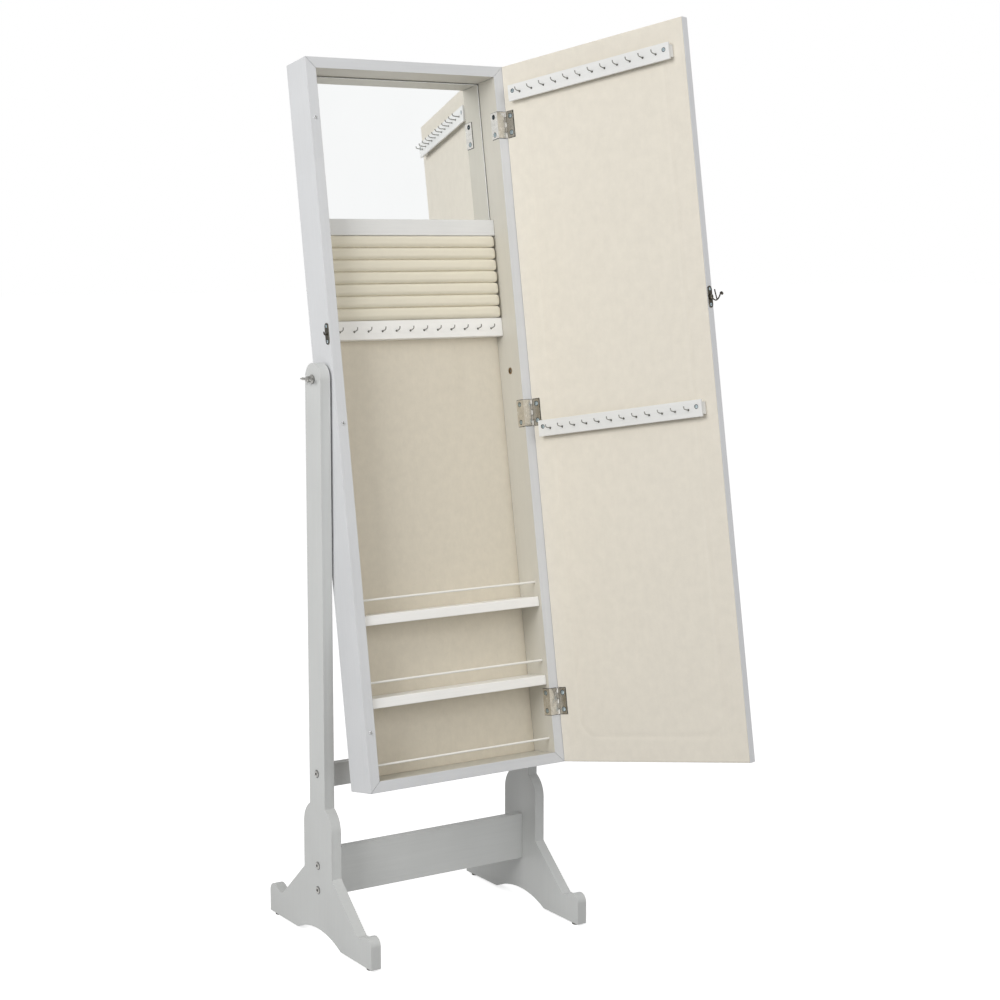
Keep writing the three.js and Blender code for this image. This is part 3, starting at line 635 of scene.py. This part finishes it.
# ---- thumbscrews
BOSS = [(0, 0), (7.4, 0), (8, 0.6), (8, 2.4), (6.6, 3.4), (5.3, 4.6), (5.0, 8.0), (5.1, 10.6),
        (4.2, 12.0), (2.4, 12.5), (0, 12.5)]  # radius, and height from the leg
WING_RIB = [(0, 0), (0.30, 0.30), (0.62, 0.52), (0.86, 0.80)]  # shares of a wing's span and reach
WING_WIRE = 2.5
WING_FLAT = 0.55
LOBE = (4.2, 4.4, 1.7)  # half sizes of a wing's end
LOBE_IN = 4.4  # from the end of the wing to the lobe's middle
THUMB_SHANK = 3.9
LEG_PLAY = 0.3  # between the boss and the leg
OVERLAP = 0.5  # of the shank in the boss


def build_thumbscrews():
    """Cast wing screws, their wings level, with a turned boss and shank."""
    for side_name, side in (("left", -1), ("right", 1)):
        node = f"{side_name}_thumbscrew"
        body = f"{side_name}_screw"
        low, high = local_box(node, STAND)
        leg_low, leg_high = local_box(f"{side_name}_leg", STAND)
        tip, root = (high.x, low.x) if side > 0 else (low.x, high.x)
        face = (leg_high.x if side > 0 else leg_low.x) + side * LEG_PLAY
        middle = Vector((0, (low.y + high.y) / 2, (low.z + high.z) / 2))
        span = (high.y - low.y) / 2
        reach = abs(tip - face)
        bm = bmesh.new()
        add_lathe(bm, BOSS, (face, middle.y, middle.z), (side, 0, 0), 36)
        for wing in (-1, 1):
            points = [(face + side * (6 + (reach - 8) * out), middle.y + wing * (3 + (span - 6) * across),
                       middle.z) for across, out in WING_RIB]
            add_wire(bm, points, WING_WIRE, 16, WING_FLAT)
            end = (face + side * (reach - LOBE_IN), middle.y + wing * (span - LOBE_IN), middle.z)
            lobe = Matrix.Translation(end) @ Matrix.Diagonal((*LOBE, 1))
            bmesh.ops.create_uvsphere(bm, u_segments=24, v_segments=14, radius=1, matrix=lobe)
        head = melt(shell(bm, f"{node}_head", STAND), 0.38, 5)
        finish_piece(head, body, NICKEL_STAND, 0, (node,))
        shank = rod_profile(THUMB_SHANK, abs(root - face) + OVERLAP, 0.4)
        origin = (face + side * OVERLAP, middle.y, middle.z)
        rod = lathe_piece(f"{node}_shank", STAND, shank, origin, (-side, 0, 0), 28)
        finish_piece(rod, body, NICKEL_STAND)


# ---- hinges
KNUCKLE_COUNT = 5
KNUCKLE_RADIUS = 1.7
KNUCKLE_PLAY = 0.8  # between two knuckles
LEAF = 1.0  # sheet thickness
LEAF_AWAY = 0.7  # between a leaf's near face and the axis
LEAF_EDGE = -2.0  # leaf's straight edge beside the knuckles
PIN_PAST = 0.8  # how far the pin stands out of the knuckles
SHADE_LINE = 0.8  # painted shadow: a dark line this far round a leaf
SHADE_LINE_THICK = 0.2
CASING_SCREWS_APART = 32
DOOR_SCREWS_APART = 30
DOOR_SCREWS_IN = 6.6  # from the edge of a door leaf
HINGE = CASING @ Matrix.Translation((hinge_at.x, hinge_at.y, 0))


def knuckle_row(where, first, low_z, high_z, leaf_y):
    """Every second knuckle, rolled from the leaf, about the axis at the place's origin."""
    bm = bmesh.new()
    pitch = (high_z - low_z) / KNUCKLE_COUNT
    width = pitch - KNUCKLE_PLAY
    for i in range(first, KNUCKLE_COUNT, 2):
        bottom = low_z + i * pitch + KNUCKLE_PLAY / 2
        add_lathe(bm, rod_profile(KNUCKLE_RADIUS, width, 0.5), (0, 0, bottom), (0, 0, 1), 28)
        add_box(bm, (LEAF_EDGE - 0.8, leaf_y[0], bottom), (-0.2, leaf_y[1], bottom + width))
    return shell(bm, "knuckles", where)


def build_casing_leaf(index):
    """A leaf that comes off the rim and is bent along the casing's wall, with its screws."""
    node = f"casing_hinge_leaf_{index}"
    low, high = local_box(node, HINGE)
    wall = low.x + LEAF
    near, far = LEAF_AWAY, LEAF_AWAY + LEAF
    leaf = box_piece(f"{node}_fine", HINGE,
                     ((low.x, near, low.z), (LEAF_EDGE, far, high.z)),
                     ((low.x, near + 0.01, low.z + 0.01), (wall, high.y, high.z - 0.01)))
    combine(leaf, knuckle_row(HINGE, 0, low.z, high.z, (near, far)), "UNION", True)
    finish_piece(leaf, "casing", NICKEL_CASING_LIT, 0.18, (node,), 2)
    # painted shadow: a dark line round the leaf
    bottom, top = low.z - SHADE_LINE, high.z + SHADE_LINE
    shade_line = box_piece(f"{node}_bed", HINGE,
                    ((wall, far, bottom), (wall + SHADE_LINE_THICK, high.y + SHADE_LINE, top)),
                    ((wall + SHADE_LINE_THICK, far, bottom), (LEAF_EDGE, far + SHADE_LINE_THICK, top)))
    finish_piece(shade_line, "casing", PAINTED_SHADE_METAL)
    middle = (low.x, (far + high.y) / 2 + 1, (low.z + high.z) / 2)
    screws(f"casing_hinge_screws_{index}", HINGE, middle, (0, 0, CASING_SCREWS_APART), (-1, 0, 0),
           HINGE_SCREW, "casing", ZINC_CASING)


def build_door_leaf(index):
    """A flat leaf on the door's inside, with the hinge's pin and its screws."""
    node = f"door_hinge_leaf_{index}"
    low, high = local_box(node, DOOR)
    bottom, top = low.z + PIN_PAST, high.z - PIN_PAST
    back, front = -LEAF_AWAY - LEAF, -LEAF_AWAY
    leaf = box_piece(f"{node}_fine", DOOR, ((low.x, back, bottom), (LEAF_EDGE, front, top)))
    combine(leaf, knuckle_row(DOOR, 1, bottom, top, (back, front)), "UNION", True)
    finish_piece(leaf, "door", NICKEL_DOOR_SHADED, 0.18, (node,), 2)
    # painted shadow: a dark line round the leaf
    shade_line = box_piece(f"{node}_bed", DOOR,
                    ((low.x - SHADE_LINE, back - SHADE_LINE_THICK, bottom - SHADE_LINE), (LEAF_EDGE, back, top + SHADE_LINE)))
    finish_piece(shade_line, "door", PAINTED_SHADE_METAL)
    pin = [(0, low.z), (0.6, low.z), (1.1, low.z + 0.35), (1.1, bottom), (0.8, bottom), (0.8, top),
           (1.1, top), (1.1, high.z - 0.35), (0.6, high.z), (0, high.z)]
    finish_piece(lathe_piece(f"hinge_pin_{index}", DOOR, pin, sides=24), "door", NICKEL_DOOR_SHADED)
    middle = (low.x + DOOR_SCREWS_IN, front, (bottom + top) / 2)
    screws(f"door_hinge_screws_{index}", DOOR, middle, (0, 0, DOOR_SCREWS_APART), (0, 1, 0),
           HINGE_SCREW, "door", ZINC_DOOR)


def build_hinges():
    for index in (1, 2, 3):
        build_casing_leaf(index)
        build_door_leaf(index)


# ---- hook rails
HOOK_COUNT = 12
HOOK_WIRE = 0.95  # radius
HOOK_REACH = 13  # how far a hook's wire stands out of its rail
HOOK_BEND = [(-1.5, -0.6), (4, 0.2), (9, 1.0), (12, 2.4), (HOOK_REACH, 6)]  # out of the rail, and up
COLLAR = [(0, 0), (1.9, 0), (1.9, 0.35), (1.3, 0.7), (0, 0.7)]
CASING_PITCH, DOOR_PITCH = 28, 27
STRIP = 4  # thickness of a door rail's strip
BLOCK = (24, 21)  # width and height of the spacer block behind each of its ends
RAIL_SCREWS_APART = 330


def build_hooks(name, where, spot, way, pitch, body, material):
    """L-hooks in a row about the spot that leave the rail and turn up, each with a dark collar of painted
    shade at the rail.
    """
    hooks, collars = bmesh.new(), bmesh.new()
    centre, face, z = spot
    for i in range(HOOK_COUNT):
        x = centre + (i - (HOOK_COUNT - 1) / 2) * pitch
        add_wire(hooks, [(x, face + way * out, z + up) for out, up in HOOK_BEND], HOOK_WIRE, 12)
        add_lathe(collars, COLLAR, (x, face, z - 0.3), (0, way, 0), 20)
    # painted shade: dark collars where the hooks leave the rail
    finish_piece(shell(collars, f"{name}_collars", where), body, COLLAR_SHADE_METAL)
    finish_piece(shell(hooks, name, where), body, material)


def build_hook_rails():
    low, high = local_box("casing_hook_rail", CASING)
    face = low.y + HOOK_REACH + HOOK_WIRE
    strip = box_piece("casing_hook_strip", CASING, ((low.x, face, low.z), high))
    finish_piece(strip, "casing", SHELF_PAINT_LIT, 1.2, ("casing_hook_rail",))
    spot = ((low.x + high.x) / 2, face, (low.z + high.z) / 2 - 2)
    build_hooks("casing_hooks", CASING, spot, -1, CASING_PITCH, "casing", HOOK_WIRE_CASING)
    for index in (1, 2):
        node = f"door_hook_rail_{index}"
        low, high = local_box(node, DOOR)
        centre, middle = (low.x + high.x) / 2, (low.z + high.z) / 2
        face = high.y - HOOK_REACH - HOOK_WIRE
        back = face - STRIP
        strip = box_piece(f"door_hook_strip_{index}", DOOR, ((low.x, back, low.z), (high.x, face, high.z)))
        finish_piece(strip, "door", WHITE_DOOR, 1.0, (node,))
        width, half = BLOCK[0], BLOCK[1] / 2
        blocks = box_piece(f"door_spacer_blocks_{index}", DOOR,
                           *(((x, low.y, middle - half), (x + width, back - 0.1, middle + half))
                             for x in (low.x, high.x - width)))
        finish_piece(blocks, "door", WHITE_DOOR, 0.8)
        spot = (centre, face, middle - 1)
        build_hooks(f"door_hooks_{index}", DOOR, spot, 1, DOOR_PITCH, "door", HOOK_WIRE_DOOR)
        screws(f"door_rail_screws_{index}", DOOR, (centre, face, middle + 3), (RAIL_SCREWS_APART, 0, 0),
               (0, 1, 0), RAIL_SCREW, "door", ZINC_DOOR)


def build_rods():
    for index in (1, 2, 3):
        node = f"guard_rod_{index}"
        low, high = local_box(node, CASING)
        profile = rod_profile((high.z - low.z) / 2, high.x - low.x, 0.4)
        origin = (low.x, (low.y + high.y) / 2, (low.z + high.z) / 2)
        rod = lathe_piece(f"{node}_fine", CASING, profile, origin, (1, 0, 0), 24)
        finish_piece(rod, "casing", ROD_PAINT, 0, (node,))


# ---- latch
PLATE_WIDTH = 12.6
PLATE_HEIGHT = 37
PLATE = 1  # thickness
LATCH_SCREWS_APART = (0, 0, 26)
CAST_WIRE = 1.25  # radius of the prong, and of the ring round the stud
PRONG_SEAT = [(0, 0), (2.6, 0), (2.3, 0.6), (1.4, 1.1), (0, 1.1)]
HOOK_DEPTH = -2.7  # X of the swing hook's middle, outward being negative
ARM = [(3.2, 2.6), (7, 5.4), (12, 6.8), (17, 5.8), (22, 3.0), (26, -0.6), (28.6, -3.6)]  # along Y, Z
FINGER = [(16.2, 5.6), (15.0, 2.0), (14.2, -2.5), (13.2, -7), (12.9, -11.4)]
EYE = 3.9  # radius of that ring's middle line
CURL = 2.2  # radius of the curl at the arm's end


def stadium_plate(name, where, back, front, y, z):
    """A plate with round ends, its rim raised a little above its field."""
    radius = PLATE_WIDTH / 2
    straight = PLATE_HEIGHT / 2 - radius

    def outline(inset):
        points = []
        for start, offset in ((0, straight), (math.pi, -straight)):
            for i in range(17):
                angle = start + math.pi * i / 16
                points.append((y + (radius - inset) * math.cos(angle),
                               z + offset + (radius - inset) * math.sin(angle)))
        return points
    outward = front + (front - back) * 0.1
    layers = [(0, back), (0, front), (0.5, outward), (1.3, outward), (1.9, front)]
    bm = bmesh.new()
    rings = [[bm.verts.new((x, p, q)) for p, q in outline(inset)] for inset, x in layers]
    bridge_capped(bm, rings)
    return shell(bm, name, where)


def build_catch():
    """The casing's plate and the prong that the swing hook lies over."""
    low, high = local_box("catch_plate", CASING)
    y, z = high.y - PLATE_WIDTH / 2, (low.z + high.z) / 2
    front = high.x - PLATE
    plate = stadium_plate("catch_plate_fine", CASING, high.x, front, y, z)
    finish_piece(plate, "casing", AGED_CASING, 0, ("catch_plate",))
    bm = bmesh.new()
    prong = [(front + 0.4, y, z - 1), (low.x + 2.6, y, z - 1.2), (low.x + 1.4, y, z + 0.4),
             (low.x + 1.2, y, z + 3.6)]
    add_wire(bm, prong, CAST_WIRE, 16)
    add_lathe(bm, PRONG_SEAT, (front, y, z - 1), (-1, 0, 0), 24)
    finish_piece(melt(shell(bm, "catch_prong", CASING), 0.22, 3), "casing", AGED_CASING)
    screws("catch_plate_screws", CASING, (front, y, z), LATCH_SCREWS_APART, (-1, 0, 0), LATCH_SCREW,
           "casing", ZINC_CASING)


def build_latch_plate():
    """The door's plate and the stud that the swing hook turns on."""
    low, high = local_box("latch_plate", LATCH)
    front = high.x - PLATE
    plate = stadium_plate("latch_plate_fine", LATCH, high.x, front, 0, 0)
    finish_piece(plate, "door", AGED_DOOR, 0, ("latch_plate",))
    reach = front - low.x
    profile = [(0, -0.3), (3.4, -0.3), (3.4, 0.2), (2.3, 0.5), (2.3, reach - 1.3), (3.6, reach - 1.1),
               (3.9, reach - 0.6), (3.0, reach - 0.15), (1.2, reach), (0, reach)]
    stud = lathe_piece("latch_stud", LATCH, profile, (front, 0, 0), (-1, 0, 0))
    finish_piece(stud, "door", AGED_DOOR)
    screws("latch_plate_screws", LATCH, (front, 0, 0), LATCH_SCREWS_APART, (-1, 0, 0), LATCH_SCREW,
           "door", ZINC_DOOR)


def build_swing_hook():
    """The cast hook, drawn as it lies over the prong and turned to where it hangs at rest."""
    swung = math.radians(-joint("latch_swing")["range_deg"][0])
    bm = bmesh.new()
    around = [2 * math.pi * i / 16 for i in range(17)]
    eye = [(HOOK_DEPTH, EYE * math.cos(a), EYE * math.sin(a)) for a in around]
    add_wire(bm, eye, CAST_WIRE, 14, closed=True, steps=2)
    over = HOOK_DEPTH - 0.2
    add_wire(bm, [(over, p, q) for p, q in ARM], 1.2, 16)
    add_wire(bm, [(over, p, q) for p, q in FINGER], 1.1, 16)
    end_y, end_z = ARM[-1]
    curl = []
    for i in range(9):
        turn = math.pi * 1.45 * i / 8
        ahead = CURL * math.sin(turn)
        curl.append((over - CURL * (1 - math.cos(turn)), end_y + ahead * 0.66, end_z - ahead * 0.75))
    for shift in (-1.4, -0.5, 0.5, 1.4):
        add_wire(bm, [(x, p + 0.75 * shift, q + 0.66 * shift) for x, p, q in curl], 0.8, 10, steps=3)
    hook = melt(shell(bm, "swing_hook_cast", LATCH @ Matrix.Rotation(swung, 4, "X")), 0.24, 3)
    finish_piece(hook, "swing_hook", AGED_LATCH, 0, ("latch_hook",))


# ---- bumpers
BUMPER_HEIGHTS = (102, 625, 1144)
DOME = [(0, 0), (3.4, 0), (3.5, 0.3), (3.2, 0.9), (2.3, 1.5), (1.1, 1.8), (0, 1.85)]
DOME_SHADE_DOT = [(0, 0), (1.1, 0), (1.1, 1.9), (0.8, 2.1), (0, 2.1)]


def build_bumpers():
    """Clear domes on the casing's left rim, where the door meets it, each with a dark pin inside that
    paints the shade seen in the dome.
    """
    low, high = local_box("casing_left_side", CASING)
    for index, height in enumerate(BUMPER_HEIGHTS, 1):
        spot = ((low.x + high.x) / 2, 0, height)
        dome = lathe_piece(f"bumper_{index}", CASING, DOME, spot, (0, -1, 0), 28)
        finish_piece(dome, "casing", CLEAR)
        # painted shade: a dark pin for the dark dot in the dome
        pin = lathe_piece(f"bumper_shade_dot_{index}", CASING, DOME_SHADE_DOT, spot, (0, -1, 0), 16)
        finish_piece(pin, "casing", AGED_CASING)


# ---- linings
def lining_sheet(node, where, low, high, face_y, back_y, cells, depth_at, body, material):
    """A glued cloth, one face towards face_y, its surface pressed in by depth_at(x, z) mm."""
    columns, rows = cells
    bm = bmesh.new()
    xs = [low.x + (high.x - low.x) * i / columns for i in range(columns + 1)]
    zs = [low.z + (high.z - low.z) * k / rows for k in range(rows + 1)]
    front = [[bm.verts.new((x, face_y + depth_at(x, z), z)) for z in zs] for x in xs]
    back = [[bm.verts.new((x, back_y, z)) for z in zs] for x in xs]
    for grid in (front, back):
        for i in range(columns):
            for k in range(rows):
                bm.faces.new((grid[i][k], grid[i + 1][k], grid[i + 1][k + 1], grid[i][k + 1]))
    edge = [(i, 0) for i in range(columns)] + [(columns, k) for k in range(rows)]
    edge += [(i, rows) for i in range(columns, 0, -1)] + [(0, k) for k in range(rows, 0, -1)]
    for (i, k), (m, n) in zip(edge, edge[1:] + edge[:1]):
        bm.faces.new((front[i][k], front[m][n], back[m][n], back[i][k]))
    piece = shell(bm, f"{node}_cloth", where)
    finish_piece(piece, body, material, 0, (node,))


def rounded_frame_distance(x, z, low, high, inset, radius):
    """Distance from a rounded rectangle that lies inset from the sheet's edges."""
    cx, cz = (low.x + high.x) / 2, (low.z + high.z) / 2
    px = abs(x - cx) - ((high.x - low.x) / 2 - inset - radius)
    pz = abs(z - cz) - ((high.z - low.z) / 2 - inset - radius)
    outside = math.hypot(max(px, 0), max(pz, 0)) + min(max(px, pz), 0)
    return abs(outside - radius)


BACK_CELLS = (60, 180)
DOOR_CELLS = (120, 360)
BACK_SINK = 0.12  # how far each cloth's face lies inside the CAD sheet
DOOR_SINK = 0.06
PRESS_INSET = 44  # of the rectangle pressed into the door's cloth
PRESS_CORNER = 34  # its corner radius
PRESS_DEPTH = 0.7
PRESS_WIDTH = 4.5


def build_linings():
    low, high = local_box("back_lining", CASING)

    def felt(x, z):
        return BACK_SINK * noise.noise(Vector((x * 0.02, 0, z * 0.006)))
    lining_sheet("back_lining", CASING, low, high, low.y + BACK_SINK, high.y, BACK_CELLS, felt,
                 "casing", BEIGE)
    low, high = local_box("door_lining", DOOR)

    def pressed(x, z):
        near = rounded_frame_distance(x, z, low, high, PRESS_INSET, PRESS_CORNER)
        groove = PRESS_DEPTH * math.exp(-(near / PRESS_WIDTH) ** 2)
        return -groove + DOOR_SINK * noise.noise(Vector((x * 0.012, 3, z * 0.008)))
    lining_sheet("door_lining", DOOR, low, high, high.y - DOOR_SINK, low.y, DOOR_CELLS, pressed,
                 "door", CREAM)


# ---- mitres and mirror edges
FILM = 0.6  # thickness
EDGE_BANDS = (("dark", 0.0, 1.1), ("bright", 1.1, 2.4))  # mm from the mirror's right and top edges


def build_mitre_films():
    """The paint that bridges the mitres of the casing's four corners."""
    low, inner = local_box("casing_left_side", CASING)
    high = local_box("casing_right_side", CASING)[1]
    board = inner.x - low.x
    bm = bmesh.new()
    for x, across in ((low.x, 1), (high.x, -1)):
        for z, upward in ((low.z, 1), (high.z, -1)):
            middle = Vector((x + across * board / 2, high.y / 2, z + upward * board / 2))
            turn = Matrix.Rotation(-across * upward * math.pi / 4, 4, "Y")
            size = Matrix.Diagonal((board * math.sqrt(2) - 2 * FILM, high.y - 0.3, FILM, 1))
            bmesh.ops.create_cube(bm, size=1, matrix=Matrix.Translation(middle) @ turn @ size)
    finish_piece(shell(bm, "mitre_films", CASING), "casing", PAINT_CASING_Z)


def build_mirror_edges():
    """Dark outer line of the interior mirror and, inside it, a white line of painted highlight for its
    bevel, on its right and top edges.
    """
    low, high = local_box("interior_mirror", CASING)
    inside = low.y + 0.6
    # the bright band is painted highlight
    for (name, near, far), material in zip(EDGE_BANDS, (EDGE_DARK, EDGE_PAINTED_HIGHLIGHT)):
        band = box_piece(f"interior_mirror_{name}_edge", CASING,
                         ((high.x - far, low.y - 0.12, low.z), (high.x - near, inside, high.z - near)),
                         ((low.x, low.y - 0.10, high.z - far), (high.x - far, inside, high.z - near)))
        finish_piece(band, "casing", material)


# ---- ring rolls
ROLL_SECTION = 7.0  # squareness of a roll's section
ROLL_SLACK = 0.5  # mm that a roll starts smaller than its room
ROLL_VOXEL = 2.4
ROLL_DRAW = 7  # mm at each end over which a roll draws in
ROLL_END = 0.18  # share of the section left at the very end
ROLL_SIDES, ROLL_STATIONS = 40, 96
CLOTH_FRAMES = 16
CLOTH_CAP = 0.5  # mm that a point may move


def roll_mesh(index, low, high):
    """One roll: a square-shouldered section that draws in at both ends."""
    bm = bmesh.new()
    centre = (low + high) / 2
    half_y = (high.y - low.y) / 2 - ROLL_SLACK
    half_z = (high.z - low.z) / 2 - ROLL_SLACK * 0.45
    rings = []
    for s in range(ROLL_STATIONS + 1):
        x = low.x + 0.3 + (high.x - low.x - 0.6) * (s / ROLL_STATIONS)
        end = min(1.0, min(x - low.x, high.x - x) / ROLL_DRAW)
        draw = math.sqrt(max(0.0, 1 - (1 - end) ** 2)) * (1 - ROLL_END) + ROLL_END
        ring = []
        for k in range(ROLL_SIDES):
            angle = 2 * math.pi * k / ROLL_SIDES
            c, d = math.cos(angle), math.sin(angle)
            reach = (abs(c) ** ROLL_SECTION + abs(d) ** ROLL_SECTION) ** (-1 / ROLL_SECTION)
            ripple = 1 + 0.012 * noise.noise(Vector((x * 0.05, c * 2 + index * 7, d * 2)))
            y = centre.y + half_y * c * reach * draw * ripple
            z = centre.z + half_z * d * reach * draw * ripple
            ring.append(bm.verts.new((x, y, z)))
        rings.append(ring)
    bridge_capped(bm, rings)
    return shell(bm, f"ring_roll_{index}_padded", CASING)


def puff(piece):
    """Cloth under a little pressure, so that the cover creases; then one subdivision."""
    remesh = piece.modifiers.new("cells", "REMESH")
    remesh.mode = "VOXEL"
    remesh.voxel_size = ROLL_VOXEL * MM
    bake(piece)
    start = [v.co.copy() for v in piece.data.vertices]
    cloth = piece.modifiers.new("cloth", "CLOTH")
    cloth.settings.quality = 5
    cloth.settings.mass = 0.2
    cloth.settings.tension_stiffness = 25
    cloth.settings.compression_stiffness = 8
    cloth.settings.bending_stiffness = 0.2
    cloth.settings.use_pressure = True
    cloth.settings.uniform_pressure_force = 4
    cloth.settings.effector_weights.gravity = 0
    cloth.collision_settings.use_collision = False
    cloth.point_cache.frame_start = 1
    cloth.point_cache.frame_end = CLOTH_FRAMES
    for step in range(1, CLOTH_FRAMES + 1):
        bpy.context.scene.frame_set(step)
    bake(piece)
    bpy.context.scene.frame_set(1)
    for vertex, before in zip(piece.data.vertices, start):
        move = vertex.co - before
        if move.length > CLOTH_CAP * MM:
            vertex.co = before + move.normalized() * CLOTH_CAP * MM
    fine = piece.modifiers.new("fine", "SUBSURF")
    fine.levels = fine.render_levels = 1
    return piece


def build_rolls():
    for index in range(1, 8):
        low, high = local_box(f"ring_roll_{index}", CASING)
        roll = puff(roll_mesh(index, low, high))
        finish_piece(roll, "casing", ROLL_CLOTH, 0, (f"ring_roll_{index}",))


# ---- camera, floor and light
CAMERA_AT = Vector((-1811.37, -3026.01, 1218.82))  # mm from the point under the tilt axis
CAMERA_YAW = -0.5768
CAMERA_PITCH = 0.1281
CAMERA_ROLL = -0.0008
CAMERA_LENS = 72.53
SENSOR = 36
KEY_LIGHT = ((-3.2, -0.9, 2.5), (0, 0.1, 1.1), 2.0, 88)  # place, target, size and power
FILL_LIGHT = ((0.1, -3.7, 2.6), (0, 0.1, 0.9), 2.4, 46)


def build_camera():
    data = bpy.data.cameras.new("camera")
    data.sensor_width = SENSOR
    data.lens = CAMERA_LENS
    forward = Vector((-math.sin(CAMERA_YAW) * math.cos(CAMERA_PITCH),
                      math.cos(CAMERA_YAW) * math.cos(CAMERA_PITCH), -math.sin(CAMERA_PITCH)))
    right = forward.cross(Vector((0, 0, 1))).normalized()
    up = right.cross(forward)
    rolled_right = right * math.cos(CAMERA_ROLL) - up * math.sin(CAMERA_ROLL)
    rolled_up = right * math.sin(CAMERA_ROLL) + up * math.cos(CAMERA_ROLL)
    turn = Matrix((rolled_right, rolled_up, -forward)).transposed().to_4x4()
    camera = bpy.data.objects.new("camera", data)
    camera.matrix_world = Matrix.Translation(STAND @ CAMERA_AT) @ turn
    bpy.context.scene.collection.objects.link(camera)
    bpy.context.scene.camera = camera


def area_light(name, at, target, size, power):
    data = bpy.data.lights.new(name, "AREA")
    data.shape = "SQUARE"
    data.size = size
    data.energy = power
    lamp = bpy.data.objects.new(name, data)
    lamp.location = at
    lamp.rotation_euler = (Vector(target) - Vector(at)).to_track_quat("-Z", "Y").to_euler()
    lamp.visible_glossy = False
    bpy.context.scene.collection.objects.link(lamp)


FLOOR_GLOW = 0.72  # light that the floor gives off, besides what it reflects
FLOOR_BOUNCE = 0.32  # share of the light that the floor sends back up to the object
AMBIENT = 0.32  # light from all around
FLOOR_HALF = 40000  # mm from the middle of the floor to its edge
FLOOR_WHITE = (0.9, 0.9, 0.9)


def split_by_ray(tree, seen, diffuse):
    """A shader that is one thing where it is seen and another to the light that bounces."""
    path = tree.nodes.new("ShaderNodeLightPath")
    mix = tree.nodes.new("ShaderNodeMixShader")
    tree.links.new(path.outputs["Is Diffuse Ray"], mix.inputs["Fac"])
    tree.links.new(seen, mix.inputs[1])
    tree.links.new(diffuse, mix.inputs[2])
    return mix.outputs["Shader"]


def build_floor():
    bm = bmesh.new()
    bmesh.ops.create_grid(bm, x_segments=2, y_segments=2, size=FLOOR_HALF)
    floor = shell(bm, "floor", STAND)
    s = Shader("floor_white", FLOOR_WHITE, 0.95)
    s.color(s.noise(s.coordinates(STAND), 3, 2), FLOOR_WHITE, 0.004)
    s.set("Specular IOR Level", 0.0)
    s.set("Emission Color", (1, 1, 1, 1))
    s.set("Emission Strength", FLOOR_GLOW)
    dull = s.add("ShaderNodeBsdfDiffuse", "BSDF", Color=(FLOOR_BOUNCE, FLOOR_BOUNCE, FLOOR_BOUNCE, 1))
    shown = split_by_ray(s.tree, s.shader.outputs["BSDF"], dull)
    s.feed(s.tree.nodes["Material Output"].inputs["Surface"], shown)
    floor.data.materials.append(s.material)


def build_light():
    world = bpy.data.worlds.new("studio")
    world.use_nodes = True
    tree = world.node_tree
    tree.nodes.clear()
    seen = tree.nodes.new("ShaderNodeBackground")
    soft = tree.nodes.new("ShaderNodeBackground")
    soft.inputs["Strength"].default_value = AMBIENT
    for background in (seen, soft):
        background.inputs["Color"].default_value = (1, 1, 1, 1)
    out = tree.nodes.new("ShaderNodeOutputWorld")
    shown = split_by_ray(tree, seen.outputs["Background"], soft.outputs["Background"])
    tree.links.new(shown, out.inputs["Surface"])
    bpy.context.scene.world = world
    area_light("key_left", *KEY_LIGHT)
    area_light("fill_front", *FILL_LIGHT)
    bpy.context.scene.view_settings.view_transform = "Standard"


carry_all()
build_bolts()
build_thumbscrews()
build_hinges()
build_hook_rails()
build_rods()
build_catch()
build_latch_plate()
build_swing_hook()
build_bumpers()
build_linings()
build_mitre_films()
build_mirror_edges()
build_rolls()
build_camera()
build_floor()
build_light()
